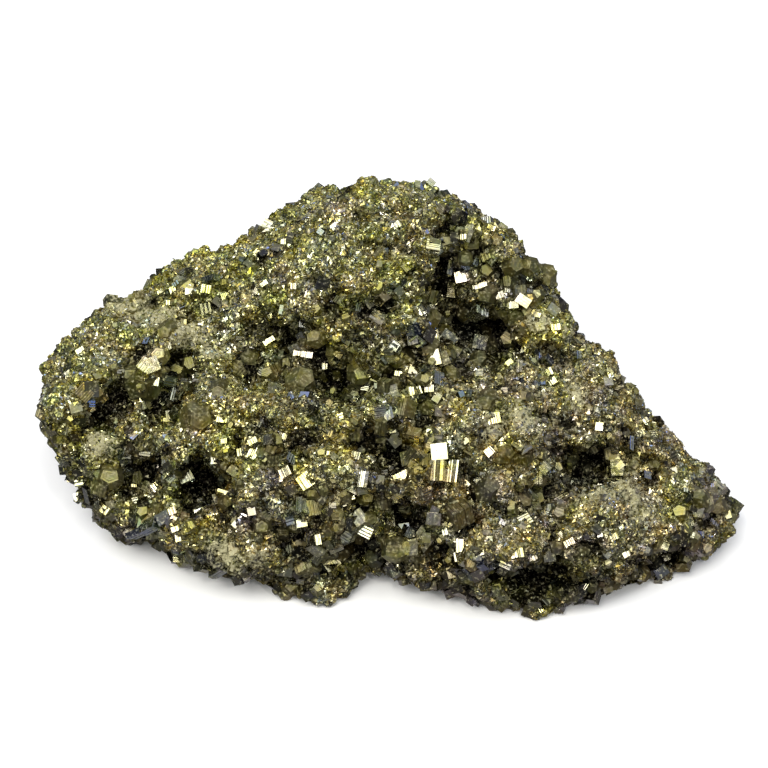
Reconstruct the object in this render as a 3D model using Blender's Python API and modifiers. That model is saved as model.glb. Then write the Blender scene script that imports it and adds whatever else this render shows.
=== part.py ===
"""A pyrite specimen: a cabinet-sized mass of iron pyrite crystals grown together.

It is one piece. A core of rounded lobes carries smaller botryoidal lumps, open hollows run
between the lumps, and cubes and pyritohedra stand in the hollows and on the ridges, all fused
into one solid. The underside is broken off level, so the mass lies on flat patches at z = 0.

Frame: metres, +Z up, +X along the specimen's length towards its thin right-hand end, +Y towards
its back. The origin is the middle of the bounding box, on the surface that the specimen lies on.

Places on the front are given as (across, up) in millimetres on a sighting board that stands
through the specimen's middle and squarely faces an eye in front of it and above. A line of
sight through that place finds the surface, so a lump, hollow or crystal always sits on it.
"""

import math
import random

import bmesh
import bpy
from mathutils import Euler, Matrix, Vector
from mathutils.bvhtree import BVHTree

MM = 0.001

# The eye that the front is sighted from, and the middle of the sighting board. The tables are
# set out from the point under the board's middle; BOX_MIDDLE is the bounding box's, from there.
EYE_DISTANCE = 310 * MM
EYE_ELEVATION = math.radians(45)
BOX_MIDDLE = Vector((-0.9, 6.4, 0)) * MM
BOARD_MIDDLE = Vector((0, 0, 24)) * MM - BOX_MIDDLE

# The crust: the grid that it is fused on, its two sizes of relief, and the triangles it keeps.
FUSE_GRID = 1.4 * MM
COBBLE_SIZE, COBBLE_HEIGHT = 7 * MM, 2.6 * MM
LEDGE_SIZE, LEDGE_HEIGHT = 3.5 * MM, 1.6 * MM
CRUST_TRIANGLES = 3500

# How much of a lump's radius, and of a crystal's size, lies under the surface.
LUMP_SUNK = 0.4
CRYSTAL_SUNK = 0.2

# Main lobes: centre, then half sizes, in mm.
LOBES = (
    ((-4, 1, 15), (42, 25, 18)),  # core
    ((-1, 20.3, 27), (25.5, 21.3, 21.3)),  # summit
    ((20.5, 15, 20), (15, 15, 15)),  # right shoulder
    ((-41, 8.5, 16), (20.5, 20, 16.5)),  # left lobe
    ((-20, 19, 20.5), (21, 18, 18)),  # left shoulder
    ((-35.5, 20, 24.5), (9, 9, 9)),  # between the left shoulder and lobe
    ((28.5, 0.5, 12.5), (20, 17.5, 12.5)),  # right slope
    ((33, 8, 18), (8, 8, 8)),  # knob on the right slope
    ((45, -9.7, 6.5), (15.5, 13.3, 9.3)),  # thin right end
    ((-19, -12.3, 8), (22, 14, 10.3)),  # front left apron
    ((22, -16, 8.5), (24, 15, 10.5)),  # front right apron
    ((-2, 20, 8), (40, 18, 12)),  # foot of the back
    ((-43, -7, 6), (10.5, 10, 9)),  # foot of the left lobe
    ((-11, -22.5, 1), (5.5, 5, 6)),  # front left foot
    ((27, -23, 1), (9, 6, 6)),  # front right foot
)

# Botryoidal lumps on the front: across, up, radius, in mm.
LUMPS = (
    (-5, 32, 7.5), (2, 32, 6.5), (-14, 25, 5), (9, 30, 6.5), (-3, 21, 7), (-17, 18, 7),
    (7, 22, 5), (6, 13, 4.5), (-8, 11, 5), (-23, 16, 5), (-25, 23, 4.5), (-33, 20, 4.5),
    (-40, 16, 4.5), (-49, 12, 7), (-39, 10, 4.5), (-54, -1, 7.5), (-44, -7, 5),
    (-52, -10, 6.5), (-45, -18, 6.5), (-35, -23, 6.5), (-29, 10, 4.5), (-29, -1, 4.5),
    (-37, -10, 4.5), (-19, -1, 6), (-10, -3, 5.5), (-9, -12, 5), (-25, -16, 6.5),
    (-10, -23, 5.5), (-23, -25, 5), (1, -1, 4.5), (2, -14, 4.5), (-2, 9, 5), (7, 2, 4.5),
    (19, 25, 6.5), (26, 19, 5), (21, 11, 4.5), (30, 13, 4), (26, 5, 5.5), (36, 2, 5),
    (16, -1, 6), (23, -4, 5), (14, -7, 5), (36, -5, 5), (45, -8, 4.5), (53, -16, 5),
    (43, -16, 5.5), (36, -21, 7), (47, -23, 5), (24, -12, 5), (18, -18, 5), (22, -27, 6.5),
    (31, -29, 5), (7, -24, 4), (14, -28, 4.5), (-2, -25, 2.5), (40, -27, 5), (-19, 30, 3.5),
)  # fmt: skip

# Hollows on the front: across, up, half width, half height, turn in degrees, depth, in mm.
HOLLOWS = (
    (15, 17, 5, 8, -15, 5),
    (11, 16.5, 2.6, 8.5, -8, 7),
    (16, 9, 6, 2.6, -10, 6),
    (-1, 15, 3, 1.7, 0, 4),
    (-8, 2, 5.5, 2.4, 0, 6),
    (0, -8.5, 3.5, 2.6, 0, 5),
    (3.6, -21, 3, 3, 0, 6),
    (-32, -15, 4.2, 3.4, 25, 7),
    (-47, -2, 5, 1.8, 42, 5),
    (-38, -1, 2.8, 2.4, 0, 5),
    (-35, 6, 2.4, 2.4, 0, 4),
    (-42, 8, 2, 1.8, 0, 3.5),
    (-24, 5, 3.2, 3, 0, 3.5),
    (35, -11, 4.5, 2.2, 12, 6),
    (28.6, -19, 2, 4, 10, 5),
    (29, -8.7, 2, 2.2, 0, 4),
    (26, -32, 8, 2.2, 0, 8),
    (12.4, 4.6, 2.6, 2, 0, 4),
    (10, 28.4, 2, 2, 0, 3.5),
    (-16, -7, 3.5, 1.6, 15, 4),
    (50, -28, 6, 2, 20, 4),
    (14, -21, 3.5, 1.6, 0, 4),
)

# Shallow breaks in the underside: x, y, half length, half width, height, in mm.
BREAKS = (
    (-32, 3, 9, 7, 3),
    (-15, -7, 8, 7, 3.5),
    (6, -16, 11, 8, 4),
    (15, 3, 9, 7, 3),
    (-8, 14, 10, 6, 3),
    (-27, 20, 8, 6, 3),
    (12, 23, 10, 7, 3),
    (31, 7, 7, 6, 3),
    (33, -9, 7, 5, 3.5),
    (-1, 2, 5, 5, 2.5),
)

# Large crystals on the front: kind, across, up, size in mm, then degrees turned about the
# sideways, upright and sight-line directions. Unturned, a cube faces the eye squarely.
CRYSTALS = (
    ("pyritohedron", -32, -0.5, 4.4, 10, -12, 8),
    ("cube", 0, -20.4, 3, -8, 6, 8),
    ("cube", 8.5, -12.4, 3.2, 12, 14, 6),
    ("cube", 11.8, -12.4, 3, 4, -18, -4),
    ("cube", 11.6, -19.2, 3.8, 25, 20, 30),
    ("pyritohedron", -42, 2, 5, 20, 10, 0),
    ("pyritohedron", -35.6, 1.2, 3.6, 0, 30, 40),
    ("cube", -16.5, -10.7, 4, 18, -8, 12),
    ("cube", -20, -10.9, 3.4, 24, 10, 20),
    ("cube", -14.8, -14.6, 3.2, -14, 8, -28),
    ("cube", -4, -14, 3.4, -20, 22, 15),
    ("cube", 2.4, -13.6, 3.4, -16, -6, -35),
    ("cube", 13.3, 20.8, 3.4, 6, -16, -14),
    ("cube", 15.8, 14.8, 3.6, 22, 4, 4),
    ("cube", 19, 23, 3.4, 30, 24, 22),
    ("cube", 28.6, 11.4, 3.2, 10, 10, 10),
    ("cube", 8.7, 2.9, 3.2, 16, 6, 2),
    ("pyritohedron", -3.7, 4.6, 5.2, 14, 10, 20),
    ("cube", 0.5, 1, 3.4, 30, -20, 12),
    ("cube", -14.8, 7.4, 3.2, -32, 10, -4),
    ("cube", 41.4, -8.2, 3.4, 20, 16, 4),
    ("pyritohedron", 38, -9, 4.4, 5, -25, 10),
    ("pyritohedron", -19.5, 30, 4, 10, 20, 40),
    ("cube", -31, 18.7, 3, -24, 6, -6),
    ("cube", -33.6, 18.4, 2.8, -20, -14, 10),
    ("pyritohedron", -38.7, 7.4, 3.8, -20, 14, 12),
    ("pyritohedron", 0.5, -24.4, 3.8, 12, -20, 30),
    ("cube", -11.4, -24.4, 2.8, 2, 10, -12),
    ("cube", -29.3, -9, 4, 30, 30, 30),
    ("pyritohedron", -26.5, -6.5, 4.2, 20, -10, 60),
    ("cube", 23.2, 6.4, 3.4, -6, 10, -10),
    ("cube", 31.2, -25.2, 3.6, 14, 24, 20),
    ("cube", -14.8, -19.2, 4.2, 26, 14, 24),
    ("cube", 35, -8, 3.6, 30, 12, 50),
    ("pyritohedron", 5, -22.6, 4, 30, 20, 10),
    ("cube", 20, 16, 3.4, 30, -25, 35),
    ("cube", -8, 4.4, 3.8, 34, 20, 28),
    ("cube", -28, 4, 3.4, 20, -30, 18),
)  # fmt: skip

# Seeded scatter on top of the tables above: how many, and sizes in mm.
HIDDEN_LUMPS, HIDDEN_LUMP_RADIUS = 90, (4, 8)
HIDDEN_HOLLOWS, HIDDEN_HOLLOW_SIZE = 16, (2, 5)
SCATTERED_CRYSTALS, SCATTERED_SIZE = 56, (2, 3.8)
PYRITOHEDRON_SHARE = 0.4


def sight_frame(azimuth, elevation):
    """The line of sight, and the board's rightward and upward directions, for an eye there."""
    level = math.cos(elevation)
    line = Vector((-math.sin(azimuth) * level, math.cos(azimuth) * level, -math.sin(elevation)))
    right = Vector((math.cos(azimuth), math.sin(azimuth), 0))
    return line, right, right.cross(line)


def sight(surface, across, up, azimuth=0.0, elevation=EYE_ELEVATION):
    """The point and normal where the line of sight through (across, up) meets the surface."""
    line, right, upward = sight_frame(azimuth, elevation)
    eye = BOARD_MIDDLE - line * EYE_DISTANCE
    aim = BOARD_MIDDLE + (right * across + upward * up) * MM
    point, normal, _, _ = surface.ray_cast(eye, (aim - eye).normalized())
    return point, normal


def surface_of(obj):
    """A search tree of obj's shape with its modifiers, for lines of sight to meet."""
    return BVHTree.FromObject(obj, bpy.context.evaluated_depsgraph_get())


def turned_away(point, normal):
    """Whether a bit of surface lies well behind the outline that the eye in front sees."""
    line, _, _ = sight_frame(0.0, EYE_ELEVATION)
    eye = BOARD_MIDDLE - line * EYE_DISTANCE
    return normal.dot((eye - point).normalized()) < -0.3


def hidden_places(surface, seed, count):
    """Places spread by the golden angle over the sides that the eye in front can't see."""
    rng = random.Random(seed)
    golden_angle = math.pi * (3 - math.sqrt(5))
    found = []
    turn = 0
    while len(found) < count:
        turn += 1
        azimuth = turn * golden_angle
        elevation = math.asin(rng.uniform(-0.6, 0.9))
        place = sight(surface, rng.uniform(-50, 50), rng.uniform(-22, 22), azimuth, elevation)
        if place[0] is not None and turned_away(*place):
            found.append(place)
    return found


def random_turn(rng):
    """A rotation picked evenly from all rotations."""
    return Euler([rng.uniform(0, 2 * math.pi) for _ in range(3)]).to_matrix().to_4x4()


def new_collection(name):
    collection = bpy.data.collections.new(name)
    bpy.context.scene.collection.children.link(collection)
    return collection


def mesh_object(name, bm, collection):
    """Turns bm into an object in collection."""
    mesh = bpy.data.meshes.new(name)
    bm.to_mesh(mesh)
    bm.free()
    obj = bpy.data.objects.new(name, mesh)
    collection.objects.link(obj)
    return obj


def helper(obj):
    """Marks obj as a cutter or a guide, which is no part of the specimen."""
    obj.hide_render = True
    obj.display_type = "WIRE"
    return obj


def add_ball(bm, centre, half_sizes, turn, rounds=3):
    """Adds an ellipsoid to bm, as a subdivided icosahedron."""
    place = Matrix.Translation(centre) @ turn @ Matrix.Diagonal((*half_sizes, 1))
    bmesh.ops.create_icosphere(bm, subdivisions=rounds, radius=1, matrix=place)


def make_lobes(collection):
    """The bare mass: the main lobes, overlapping."""
    bm = bmesh.new()
    for centre, half_sizes in LOBES:
        middle = Vector(centre) * MM - BOX_MIDDLE
        add_ball(bm, middle, Vector(half_sizes) * MM, Matrix.Identity(4), rounds=4)
    return mesh_object("pyrite_mass", bm, collection)


def add_lumps(mass):
    """Sets the botryoidal lumps on the lobes, partly sunk, as more balls in the same mesh."""
    surface = surface_of(mass)
    rng = random.Random(1)
    places = [(*sight(surface, across, up), radius) for across, up, radius in LUMPS]
    for point, normal in hidden_places(surface, 2, HIDDEN_LUMPS):
        places.append((point, normal, rng.uniform(*HIDDEN_LUMP_RADIUS)))
    bm = bmesh.new()
    bm.from_mesh(mass.data)
    for point, normal, radius in places:
        half_sizes = Vector([rng.uniform(0.9, 1.2) for _ in range(3)]) * radius * MM
        turned = random_turn(rng)
        if point is not None:
            add_ball(bm, point - normal * radius * LUMP_SUNK * MM, half_sizes, turned)
    bm.to_mesh(mass.data)
    bm.free()


def make_hollows(mass, collection):
    """The cutters of the hollows: ellipsoids whose third half size is the hollow's depth."""
    surface = surface_of(mass)
    rng = random.Random(3)
    line, right, upward = sight_frame(0.0, EYE_ELEVATION)
    board = Matrix((right, upward, -line)).transposed().to_4x4()
    cuts = []
    for across, up, half_width, half_height, turn, depth in HOLLOWS:
        point, _ = sight(surface, across, up)
        turned = board @ Matrix.Rotation(math.radians(turn), 4, "Z")
        cuts.append((point, (half_width, half_height, depth), turned))
    for point, normal in hidden_places(surface, 4, HIDDEN_HOLLOWS):
        turned = normal.to_track_quat("Z", "Y").to_matrix().to_4x4()
        size = rng.uniform(*HIDDEN_HOLLOW_SIZE)
        cuts.append((point, (size, size * rng.uniform(0.4, 0.8), size), turned))
    for x, y, half_length, half_width, height in BREAKS:
        middle = Vector((x, y, 0)) * MM - BOX_MIDDLE
        cuts.append((middle, (half_length, half_width, height), Matrix.Identity(4)))
    for number, (point, half_sizes, turned) in enumerate(cuts, 1):
        if point is None:
            continue
        bm = bmesh.new()
        add_ball(bm, point, Vector(half_sizes) * MM, turned)
        helper(mesh_object(f"hollow_{number:02}", bm, collection))


def add_fuse(mass):
    """Joins everything that overlaps in the mass into one skin."""
    fuse = mass.modifiers.new("fuse", "REMESH")
    fuse.mode = "VOXEL"
    fuse.voxel_size = FUSE_GRID


def add_boolean(mass, operation, name, collection):
    boolean = mass.modifiers.new(name, "BOOLEAN")
    boolean.operation = operation
    boolean.operand_type = "COLLECTION"
    boolean.collection = collection


def add_relief(mass, name, basis, size, height):
    """Raises and sinks the skin by a solid noise with features of that size."""
    texture = bpy.data.textures.new(name, "CLOUDS")
    texture.noise_basis = basis
    texture.noise_scale = size
    texture.noise_depth = 0
    relief = mass.modifiers.new(name, "DISPLACE")
    relief.texture = texture
    relief.texture_coords = "LOCAL"
    relief.strength = height


def add_crust_limit(mass):
    """Thins the skin to about CRUST_TRIANGLES flat facets."""
    graph = bpy.context.evaluated_depsgraph_get()
    evaluated = mass.evaluated_get(graph)
    count = sum(len(face.vertices) - 2 for face in evaluated.data.polygons)
    limit = mass.modifiers.new("crust_limit", "DECIMATE")
    limit.ratio = CRUST_TRIANGLES / count
    limit.use_collapse_triangulate = True


def cube_corners():
    return [(x, y, z) for x in (-1, 1) for y in (-1, 1) for z in (-1, 1)]


def pyritohedron_corners():
    """A cube's corners and a roof ridge over each face, as in the pentagonal form {210}."""
    long, short = 1.5, 0.75
    ridges = []
    for a in (-long, long):
        for b in (-short, short):
            ridges += [(0, a, b), (a, b, 0), (b, 0, a)]
    return cube_corners() + ridges


def crystal_mesh(kind):
    """A crystal of unit size: the flat-faced hull round its corners."""
    corners = {"cube": cube_corners, "pyritohedron": pyritohedron_corners}[kind]()
    reach = max(max(map(abs, corner)) for corner in corners)
    bm = bmesh.new()
    for corner in corners:
        bm.verts.new(Vector(corner) / (2 * reach))
    bmesh.ops.convex_hull(bm, input=bm.verts)
    bmesh.ops.dissolve_limit(bm, angle_limit=0.01, verts=bm.verts, edges=bm.edges)
    mesh = bpy.data.meshes.new(kind)
    bm.to_mesh(mesh)
    bm.free()
    return mesh


def make_crystals(mass, collection):
    """The crystals: the large ones by the table, the rest scattered, more of them at hollows."""
    surface = surface_of(mass)
    rng = random.Random(5)
    line, right, upward = sight_frame(0.0, EYE_ELEVATION)
    board = Matrix((right, upward, -line)).transposed().to_4x4()
    places = []
    for kind, across, up, size, *degrees in CRYSTALS:
        point, _ = sight(surface, across, up)
        turned = board @ Euler([math.radians(angle) for angle in degrees]).to_matrix().to_4x4()
        places.append((kind, point, line, size, turned))
    scattered = hidden_places(surface, 6, SCATTERED_CRYSTALS)
    for _ in range(SCATTERED_CRYSTALS):
        across, up, half_width, half_height, _, _ = rng.choice(HOLLOWS)
        around = rng.uniform(0, 2 * math.pi)
        across += math.cos(around) * (half_width + 2)
        up += math.sin(around) * (half_height + 2)
        scattered.append(sight(surface, across, up))
        scattered.append(sight(surface, rng.uniform(-58, 56), rng.uniform(-34, 34)))
    for point, normal in scattered:
        kind = "pyritohedron" if rng.random() < PYRITOHEDRON_SHARE else "cube"
        size = rng.uniform(*SCATTERED_SIZE)
        turned = random_turn(rng)
        if point is not None:
            places.append((kind, point, -normal, size, turned))
    meshes = {kind: crystal_mesh(kind) for kind in ("cube", "pyritohedron")}
    for number, (kind, point, inward, size, turned) in enumerate(places, 1):
        crystal = bpy.data.objects.new(f"crystal_{number:03}", meshes[kind])
        sunk = point + inward * CRYSTAL_SUNK * size * MM
        crystal.matrix_world = Matrix.Translation(sunk) @ turned @ Matrix.Scale(size * MM, 4)
        collection.objects.link(helper(crystal))


def make_ground_cutter(collection):
    """A block whose top is the plane that the specimen lies on."""
    side = 0.4
    bm = bmesh.new()
    bmesh.ops.create_cube(bm, size=side, matrix=Matrix.Translation((0, 0, -side / 2)))
    helper(mesh_object("ground_cutter", bm, collection))


def pyrite():
    material = bpy.data.materials.new("pyrite")
    material.use_nodes = True
    shader = material.node_tree.nodes["Principled BSDF"]
    shader.inputs["Base Color"].default_value = (0.42, 0.37, 0.2, 1)
    shader.inputs["Metallic"].default_value = 1.0
    shader.inputs["Roughness"].default_value = 0.3
    return material


def main():
    for obj in list(bpy.data.objects):
        bpy.data.objects.remove(obj)
    specimen = new_collection("pyrite_specimen")
    hollows = new_collection("hollow_cutters")
    crystals = new_collection("crystals_to_join")
    ground = new_collection("ground_cutters")

    mass = make_lobes(specimen)
    mass.data.materials.append(pyrite())
    add_fuse(mass)
    add_lumps(mass)
    make_hollows(mass, hollows)
    add_boolean(mass, "DIFFERENCE", "hollows", hollows)
    add_fuse(mass)
    add_relief(mass, "cobbles", "VORONOI_F2_F1", COBBLE_SIZE, COBBLE_HEIGHT)
    add_relief(mass, "ledges", "CELL_NOISE", LEDGE_SIZE, LEDGE_HEIGHT)
    add_fuse(mass)
    add_crust_limit(mass)
    make_crystals(mass, crystals)
    add_boolean(mass, "UNION", "crystals", crystals)
    make_ground_cutter(ground)
    add_boolean(mass, "DIFFERENCE", "level_underside", ground)


main()
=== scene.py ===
# %% [markdown]
# # A pyrite specimen
#
# Iron pyrite often grows as a druse: a crust of small crystals over rounded lumps, with larger
# cubes and pyritohedra in the hollows, where they had room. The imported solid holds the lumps,
# the hollows and the large crystals. This file dresses it in three steps: a finely modelled
# crust, crystals of every size growing out of it, and a metal finish for each of them.

# %% Load the frame and name the working units
import math

import bmesh
import bpy
import numpy as np
from mathutils import Matrix, Vector
from mathutils.bvhtree import BVHTree


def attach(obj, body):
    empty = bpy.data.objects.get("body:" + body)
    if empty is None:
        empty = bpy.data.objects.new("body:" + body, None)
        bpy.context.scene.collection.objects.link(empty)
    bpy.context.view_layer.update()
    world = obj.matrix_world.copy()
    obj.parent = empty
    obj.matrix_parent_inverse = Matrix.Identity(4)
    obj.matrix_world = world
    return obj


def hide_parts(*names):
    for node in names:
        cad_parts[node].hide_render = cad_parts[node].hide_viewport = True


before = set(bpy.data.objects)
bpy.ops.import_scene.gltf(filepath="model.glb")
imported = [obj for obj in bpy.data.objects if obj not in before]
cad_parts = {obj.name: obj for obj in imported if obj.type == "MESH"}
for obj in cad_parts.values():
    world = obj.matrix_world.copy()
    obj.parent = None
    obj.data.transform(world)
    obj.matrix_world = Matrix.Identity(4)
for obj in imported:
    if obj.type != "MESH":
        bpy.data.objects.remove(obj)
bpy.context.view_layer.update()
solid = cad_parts["pyrite_mass"]
MM = 0.001

# %% [markdown]
# ## Where the eye stands
#
# The front is sighted from an eye in front of the specimen and 45 degrees above it. A board
# through the specimen's middle squarely faces that eye. A crystal could be placed by x, y and z,
# but then its height would be a guess. A place (across, up) on the board, in millimetres, needs
# two numbers only, and the sight line through it finds the surface by itself.

# %% Sight lines
BOX_MIDDLE = Vector((-0.9, 6.4, 0)) * MM
BOARD_MIDDLE = Vector((0, 0, 24)) * MM - BOX_MIDDLE
EYE_DISTANCE = 310 * MM
EYE_ELEVATION = math.radians(45)

line = Vector((0, math.cos(EYE_ELEVATION), -math.sin(EYE_ELEVATION)))
right = Vector((1, 0, 0))
upward = right.cross(line)
eye = BOARD_MIDDLE - line * EYE_DISTANCE


def sight_ray(across, up):
    """The direction from the eye through the place (across, up) on the board."""
    return (BOARD_MIDDLE + (right * across + upward * up) * MM - eye).normalized()


print("eye at", [round(c / MM) for c in eye], "mm")

# %% [markdown]
# ## The camera
#
# The camera stands at the same eye, so a crystal that is placed on the board also shows there.
# A lens shift moves the view without turning the camera, and keeps the board square to it.

# %% The camera
FRAME_WIDTH = 130.8 * MM  # how much of the board the camera sees
FRAME_MIDDLE = (-0.5, 2.2)  # the middle of its view on the board, in mm
SENSOR_WIDTH = 36  # in mm

camera = bpy.data.objects.new("camera", bpy.data.cameras.new("camera"))
camera.data.sensor_width = SENSOR_WIDTH
camera.data.lens = SENSOR_WIDTH * EYE_DISTANCE / FRAME_WIDTH
camera.data.shift_x = FRAME_MIDDLE[0] * MM / FRAME_WIDTH
camera.data.shift_y = FRAME_MIDDLE[1] * MM / FRAME_WIDTH
camera.matrix_world = Matrix.Translation(eye) @ line.to_track_quat("-Z", "Y").to_matrix().to_4x4()
bpy.context.scene.collection.objects.link(camera)
bpy.context.scene.camera = camera
print("lens", round(camera.data.lens, 1), "mm")

# %% [markdown]
# ## Meshes as arrays
#
# A crust of a hundred thousand points is too much for a loop over its vertices. So every shape
# below is worked out with numpy on whole arrays, and these helpers read a mesh into them. The
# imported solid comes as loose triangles, so a copy of it has its doubled corners joined first.

# %% Read the solid into arrays
JOIN_DISTANCE = 1e-6


def read(items, name, width, kind=float):
    """One property of every item in a mesh, as an array with that many columns."""
    flat = np.empty(len(items) * width, kind)
    items.foreach_get(name, flat)
    return flat.reshape(-1, width) if width > 1 else flat


def triangles_of(mesh):
    """The corners of the mesh's triangles, as rows of three vertex numbers."""
    mesh.calc_loop_triangles()
    return read(mesh.loop_triangles, "vertices", 3, np.int32)


def merged_copy(obj):
    """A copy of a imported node's mesh with its doubled corners joined."""
    bm = bmesh.new()
    bm.from_mesh(obj.data)
    bmesh.ops.remove_doubles(bm, verts=bm.verts, dist=JOIN_DISTANCE)
    mesh = bpy.data.meshes.new("merged")
    bm.to_mesh(mesh)
    bm.free()
    return mesh


merged = merged_copy(solid)
solid_points, solid_triangles = read(merged.vertices, "co", 3), triangles_of(merged)
print("solid:", len(solid_points), "points,", len(solid_triangles), "triangles")

# %% [markdown]
# ## Normals and neighbours
#
# A triangle's direction and size both come from the cross product of two of its sides. What
# lies beside what is read from the sides that two triangles share. Sorting the sides puts the
# shared ones next to each other, which is far quicker than searching for each.

# %% Directions of triangles
def unit(vectors):
    """Vectors divided by their lengths."""
    return vectors / np.maximum(np.linalg.norm(vectors, axis=1, keepdims=True), 1e-12)


def area_vectors(corners):
    """Each triangle's normal, as long as twice its area: the cross product of two sides."""
    return np.cross(corners[:, 1] - corners[:, 0], corners[:, 2] - corners[:, 0])


def summed(index, values, count):
    """The rows of values that have the same index, added up column by column."""
    return np.stack([np.bincount(index, column, count) for column in values.T], axis=1)


area = np.linalg.norm(area_vectors(solid_points[solid_triangles]), axis=1).sum() / 2
print("the solid's surface:", round(area / MM**2), "mm2")

# %% [markdown]
# ## Groups of neighbours
#
# A crystal's face is many triangles, and a cluster is many faces. Both are found by joining
# neighbours: each item starts with its own number and takes the lowest number next to it, until
# nothing changes any more.

# %% Sides and groups
def sides_of(triangles):
    """The sides of all triangles, as pairs of corners: the first of each, then the others."""
    return np.concatenate([triangles[:, pair] for pair in ([0, 1], [1, 2], [2, 0])])


def shared_edges(triangles):
    """The two triangles at each shared edge, and the edge's two ends."""
    sides = sides_of(triangles)
    owner = np.tile(np.arange(len(triangles)), 3)
    low, high = sides.min(axis=1), sides.max(axis=1)
    order = np.lexsort((high, low))
    low, high, owner = low[order], high[order], owner[order]
    same = np.nonzero((low[1:] == low[:-1]) & (high[1:] == high[:-1]))[0]
    return owner[same], owner[same + 1], np.stack([low[same], high[same]], axis=1)


def labelled(count, first, second):
    """Numbers items so that all items joined by pairs share one number, the lowest of theirs."""
    label = np.arange(count)
    while True:
        low = np.minimum(label[first], label[second])
        before = label.copy()
        np.minimum.at(label, first, low)
        np.minimum.at(label, second, low)
        label = label[label]
        if (label == before).all():
            return np.unique(label, return_inverse=True)[1]


def used_once(keys):
    """Marks the keys that occur only once, such as those of an open shell's outer sides."""
    _, inverse, uses = np.unique(keys, return_inverse=True, return_counts=True)
    return uses[inverse.ravel()] == 1


print("shared edges:", len(shared_edges(solid_triangles)[0]))

# %% [markdown]
# ## The large crystals on the solid
#
# The solid has large cubes and pyritohedra fused into it. Their faces have to stay flat and
# sharp while the rest is smoothed, so they are found first. Two faces of a cube meet at 90
# degrees, and those of a pyritohedron at 53.13 or 66.42. Rough rock hardly ever has exactly
# those angles, so they tell the crystals from it.

# %% Find the large crystals' faces
CRYSTAL_ANGLES = (90.0, 53.13, 66.42)  # between neighbouring faces, in degrees
ANGLE_SLACK = 0.25
FLAT_ANGLE = 0.2  # two triangles that differ by less lie on one face
GROUND = 0.01 * MM  # what lies lower and faces down is the underside


def crystal_faces(points, triangles):
    """Marks triangles that meet another at exactly a crystal's angle, and their flat neighbours.

    Also gives each corner's place across the growth steps of its face, which run along the
    face's longest such edge."""
    corners = points[triangles]
    normals = unit(area_vectors(corners))
    centres = corners.mean(axis=1)
    first, second, ends = shared_edges(triangles)
    angle = np.degrees(np.arccos(np.clip((normals[first] * normals[second]).sum(axis=1), -1, 1)))
    exact = np.zeros(len(first), bool)
    for wanted in CRYSTAL_ANGLES:
        exact |= np.abs(angle - wanted) < ANGLE_SLACK
    exact &= ((centres[second] - centres[first]) * normals[first]).sum(axis=1) < 0
    flat = angle < FLAT_ANGLE
    face = labelled(len(triangles), first[flat], second[flat])
    edge = np.tile(points[ends[exact, 1]] - points[ends[exact, 0]], (2, 1))
    owner = np.concatenate([face[first[exact]], face[second[exact]]])
    order = np.argsort(np.linalg.norm(edge, axis=1))
    direction = np.zeros((face.max() + 1, 3))
    direction[owner[order]] = edge[order]
    marked = np.zeros(face.max() + 1, bool)
    marked[owner] = True
    underside = (np.abs(centres[:, 2]) < GROUND) & (normals[:, 2] < -0.99)
    across = np.cross(normals, unit(direction[face]))
    return marked[face] & ~underside, (corners * across[:, None]).sum(axis=2)


on_crystal, steps = crystal_faces(solid_points, solid_triangles)
print("large crystals' triangles:", int(on_crystal.sum()), "of", len(solid_triangles))

# %% [markdown]
# ## The form under the crust
#
# The lumps' form on the solid is right, but it is cut in large flat facets. A subdivided copy
# would keep them as creases. Instead the copy is remeshed on an even grid, which any shape can
# be cast into, and relaxed until the facets are gone: each point moves halfway to the mean of
# its neighbours.

# %% Remesh and relax
def remeshed(mesh, grid):
    """The mesh's form on an even grid, as points, triangles and edges."""
    body = bpy.data.objects.new("remesh", mesh)
    bpy.context.scene.collection.objects.link(body)
    modifier = body.modifiers.new("remesh", "REMESH")
    modifier.mode = "VOXEL"
    modifier.voxel_size = grid
    graph = bpy.context.evaluated_depsgraph_get()
    fine = bpy.data.meshes.new_from_object(body.evaluated_get(graph))
    bpy.data.objects.remove(body)
    found = read(fine.vertices, "co", 3), triangles_of(fine), read(fine.edges, "vertices", 2, np.int32)
    bpy.data.meshes.remove(fine)
    return found


def relaxed(values, edges, rounds):
    """Moves each point's values halfway to the mean of its neighbours', that many times."""
    one, other = edges[:, 0], edges[:, 1]
    count = np.bincount(edges.ravel(), minlength=len(values))[:, None]
    for _ in range(rounds):
        total = summed(one, values[other], len(values)) + summed(other, values[one], len(values))
        values = (values + total / count) / 2
    return values


FORM_GRID = 0.9 * MM
FORM_ROUNDS = 5
NORMAL_ROUNDS = 2  # normals are relaxed too, so that the gaps sink evenly
form_points, form_triangles, form_edges = remeshed(merged, FORM_GRID)
form_points = relaxed(form_points, form_edges, FORM_ROUNDS)
print("form:", len(form_triangles), "triangles")

# %% [markdown]
# ## The outline
#
# A specimen is known by its outline, and a millimetre of it shows. A few edges of the relaxed
# form are nudged along the board. Each nudge fades out over its own reach, so the form stays
# smooth. Cutting or adding rock there would leave a seam.

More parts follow.
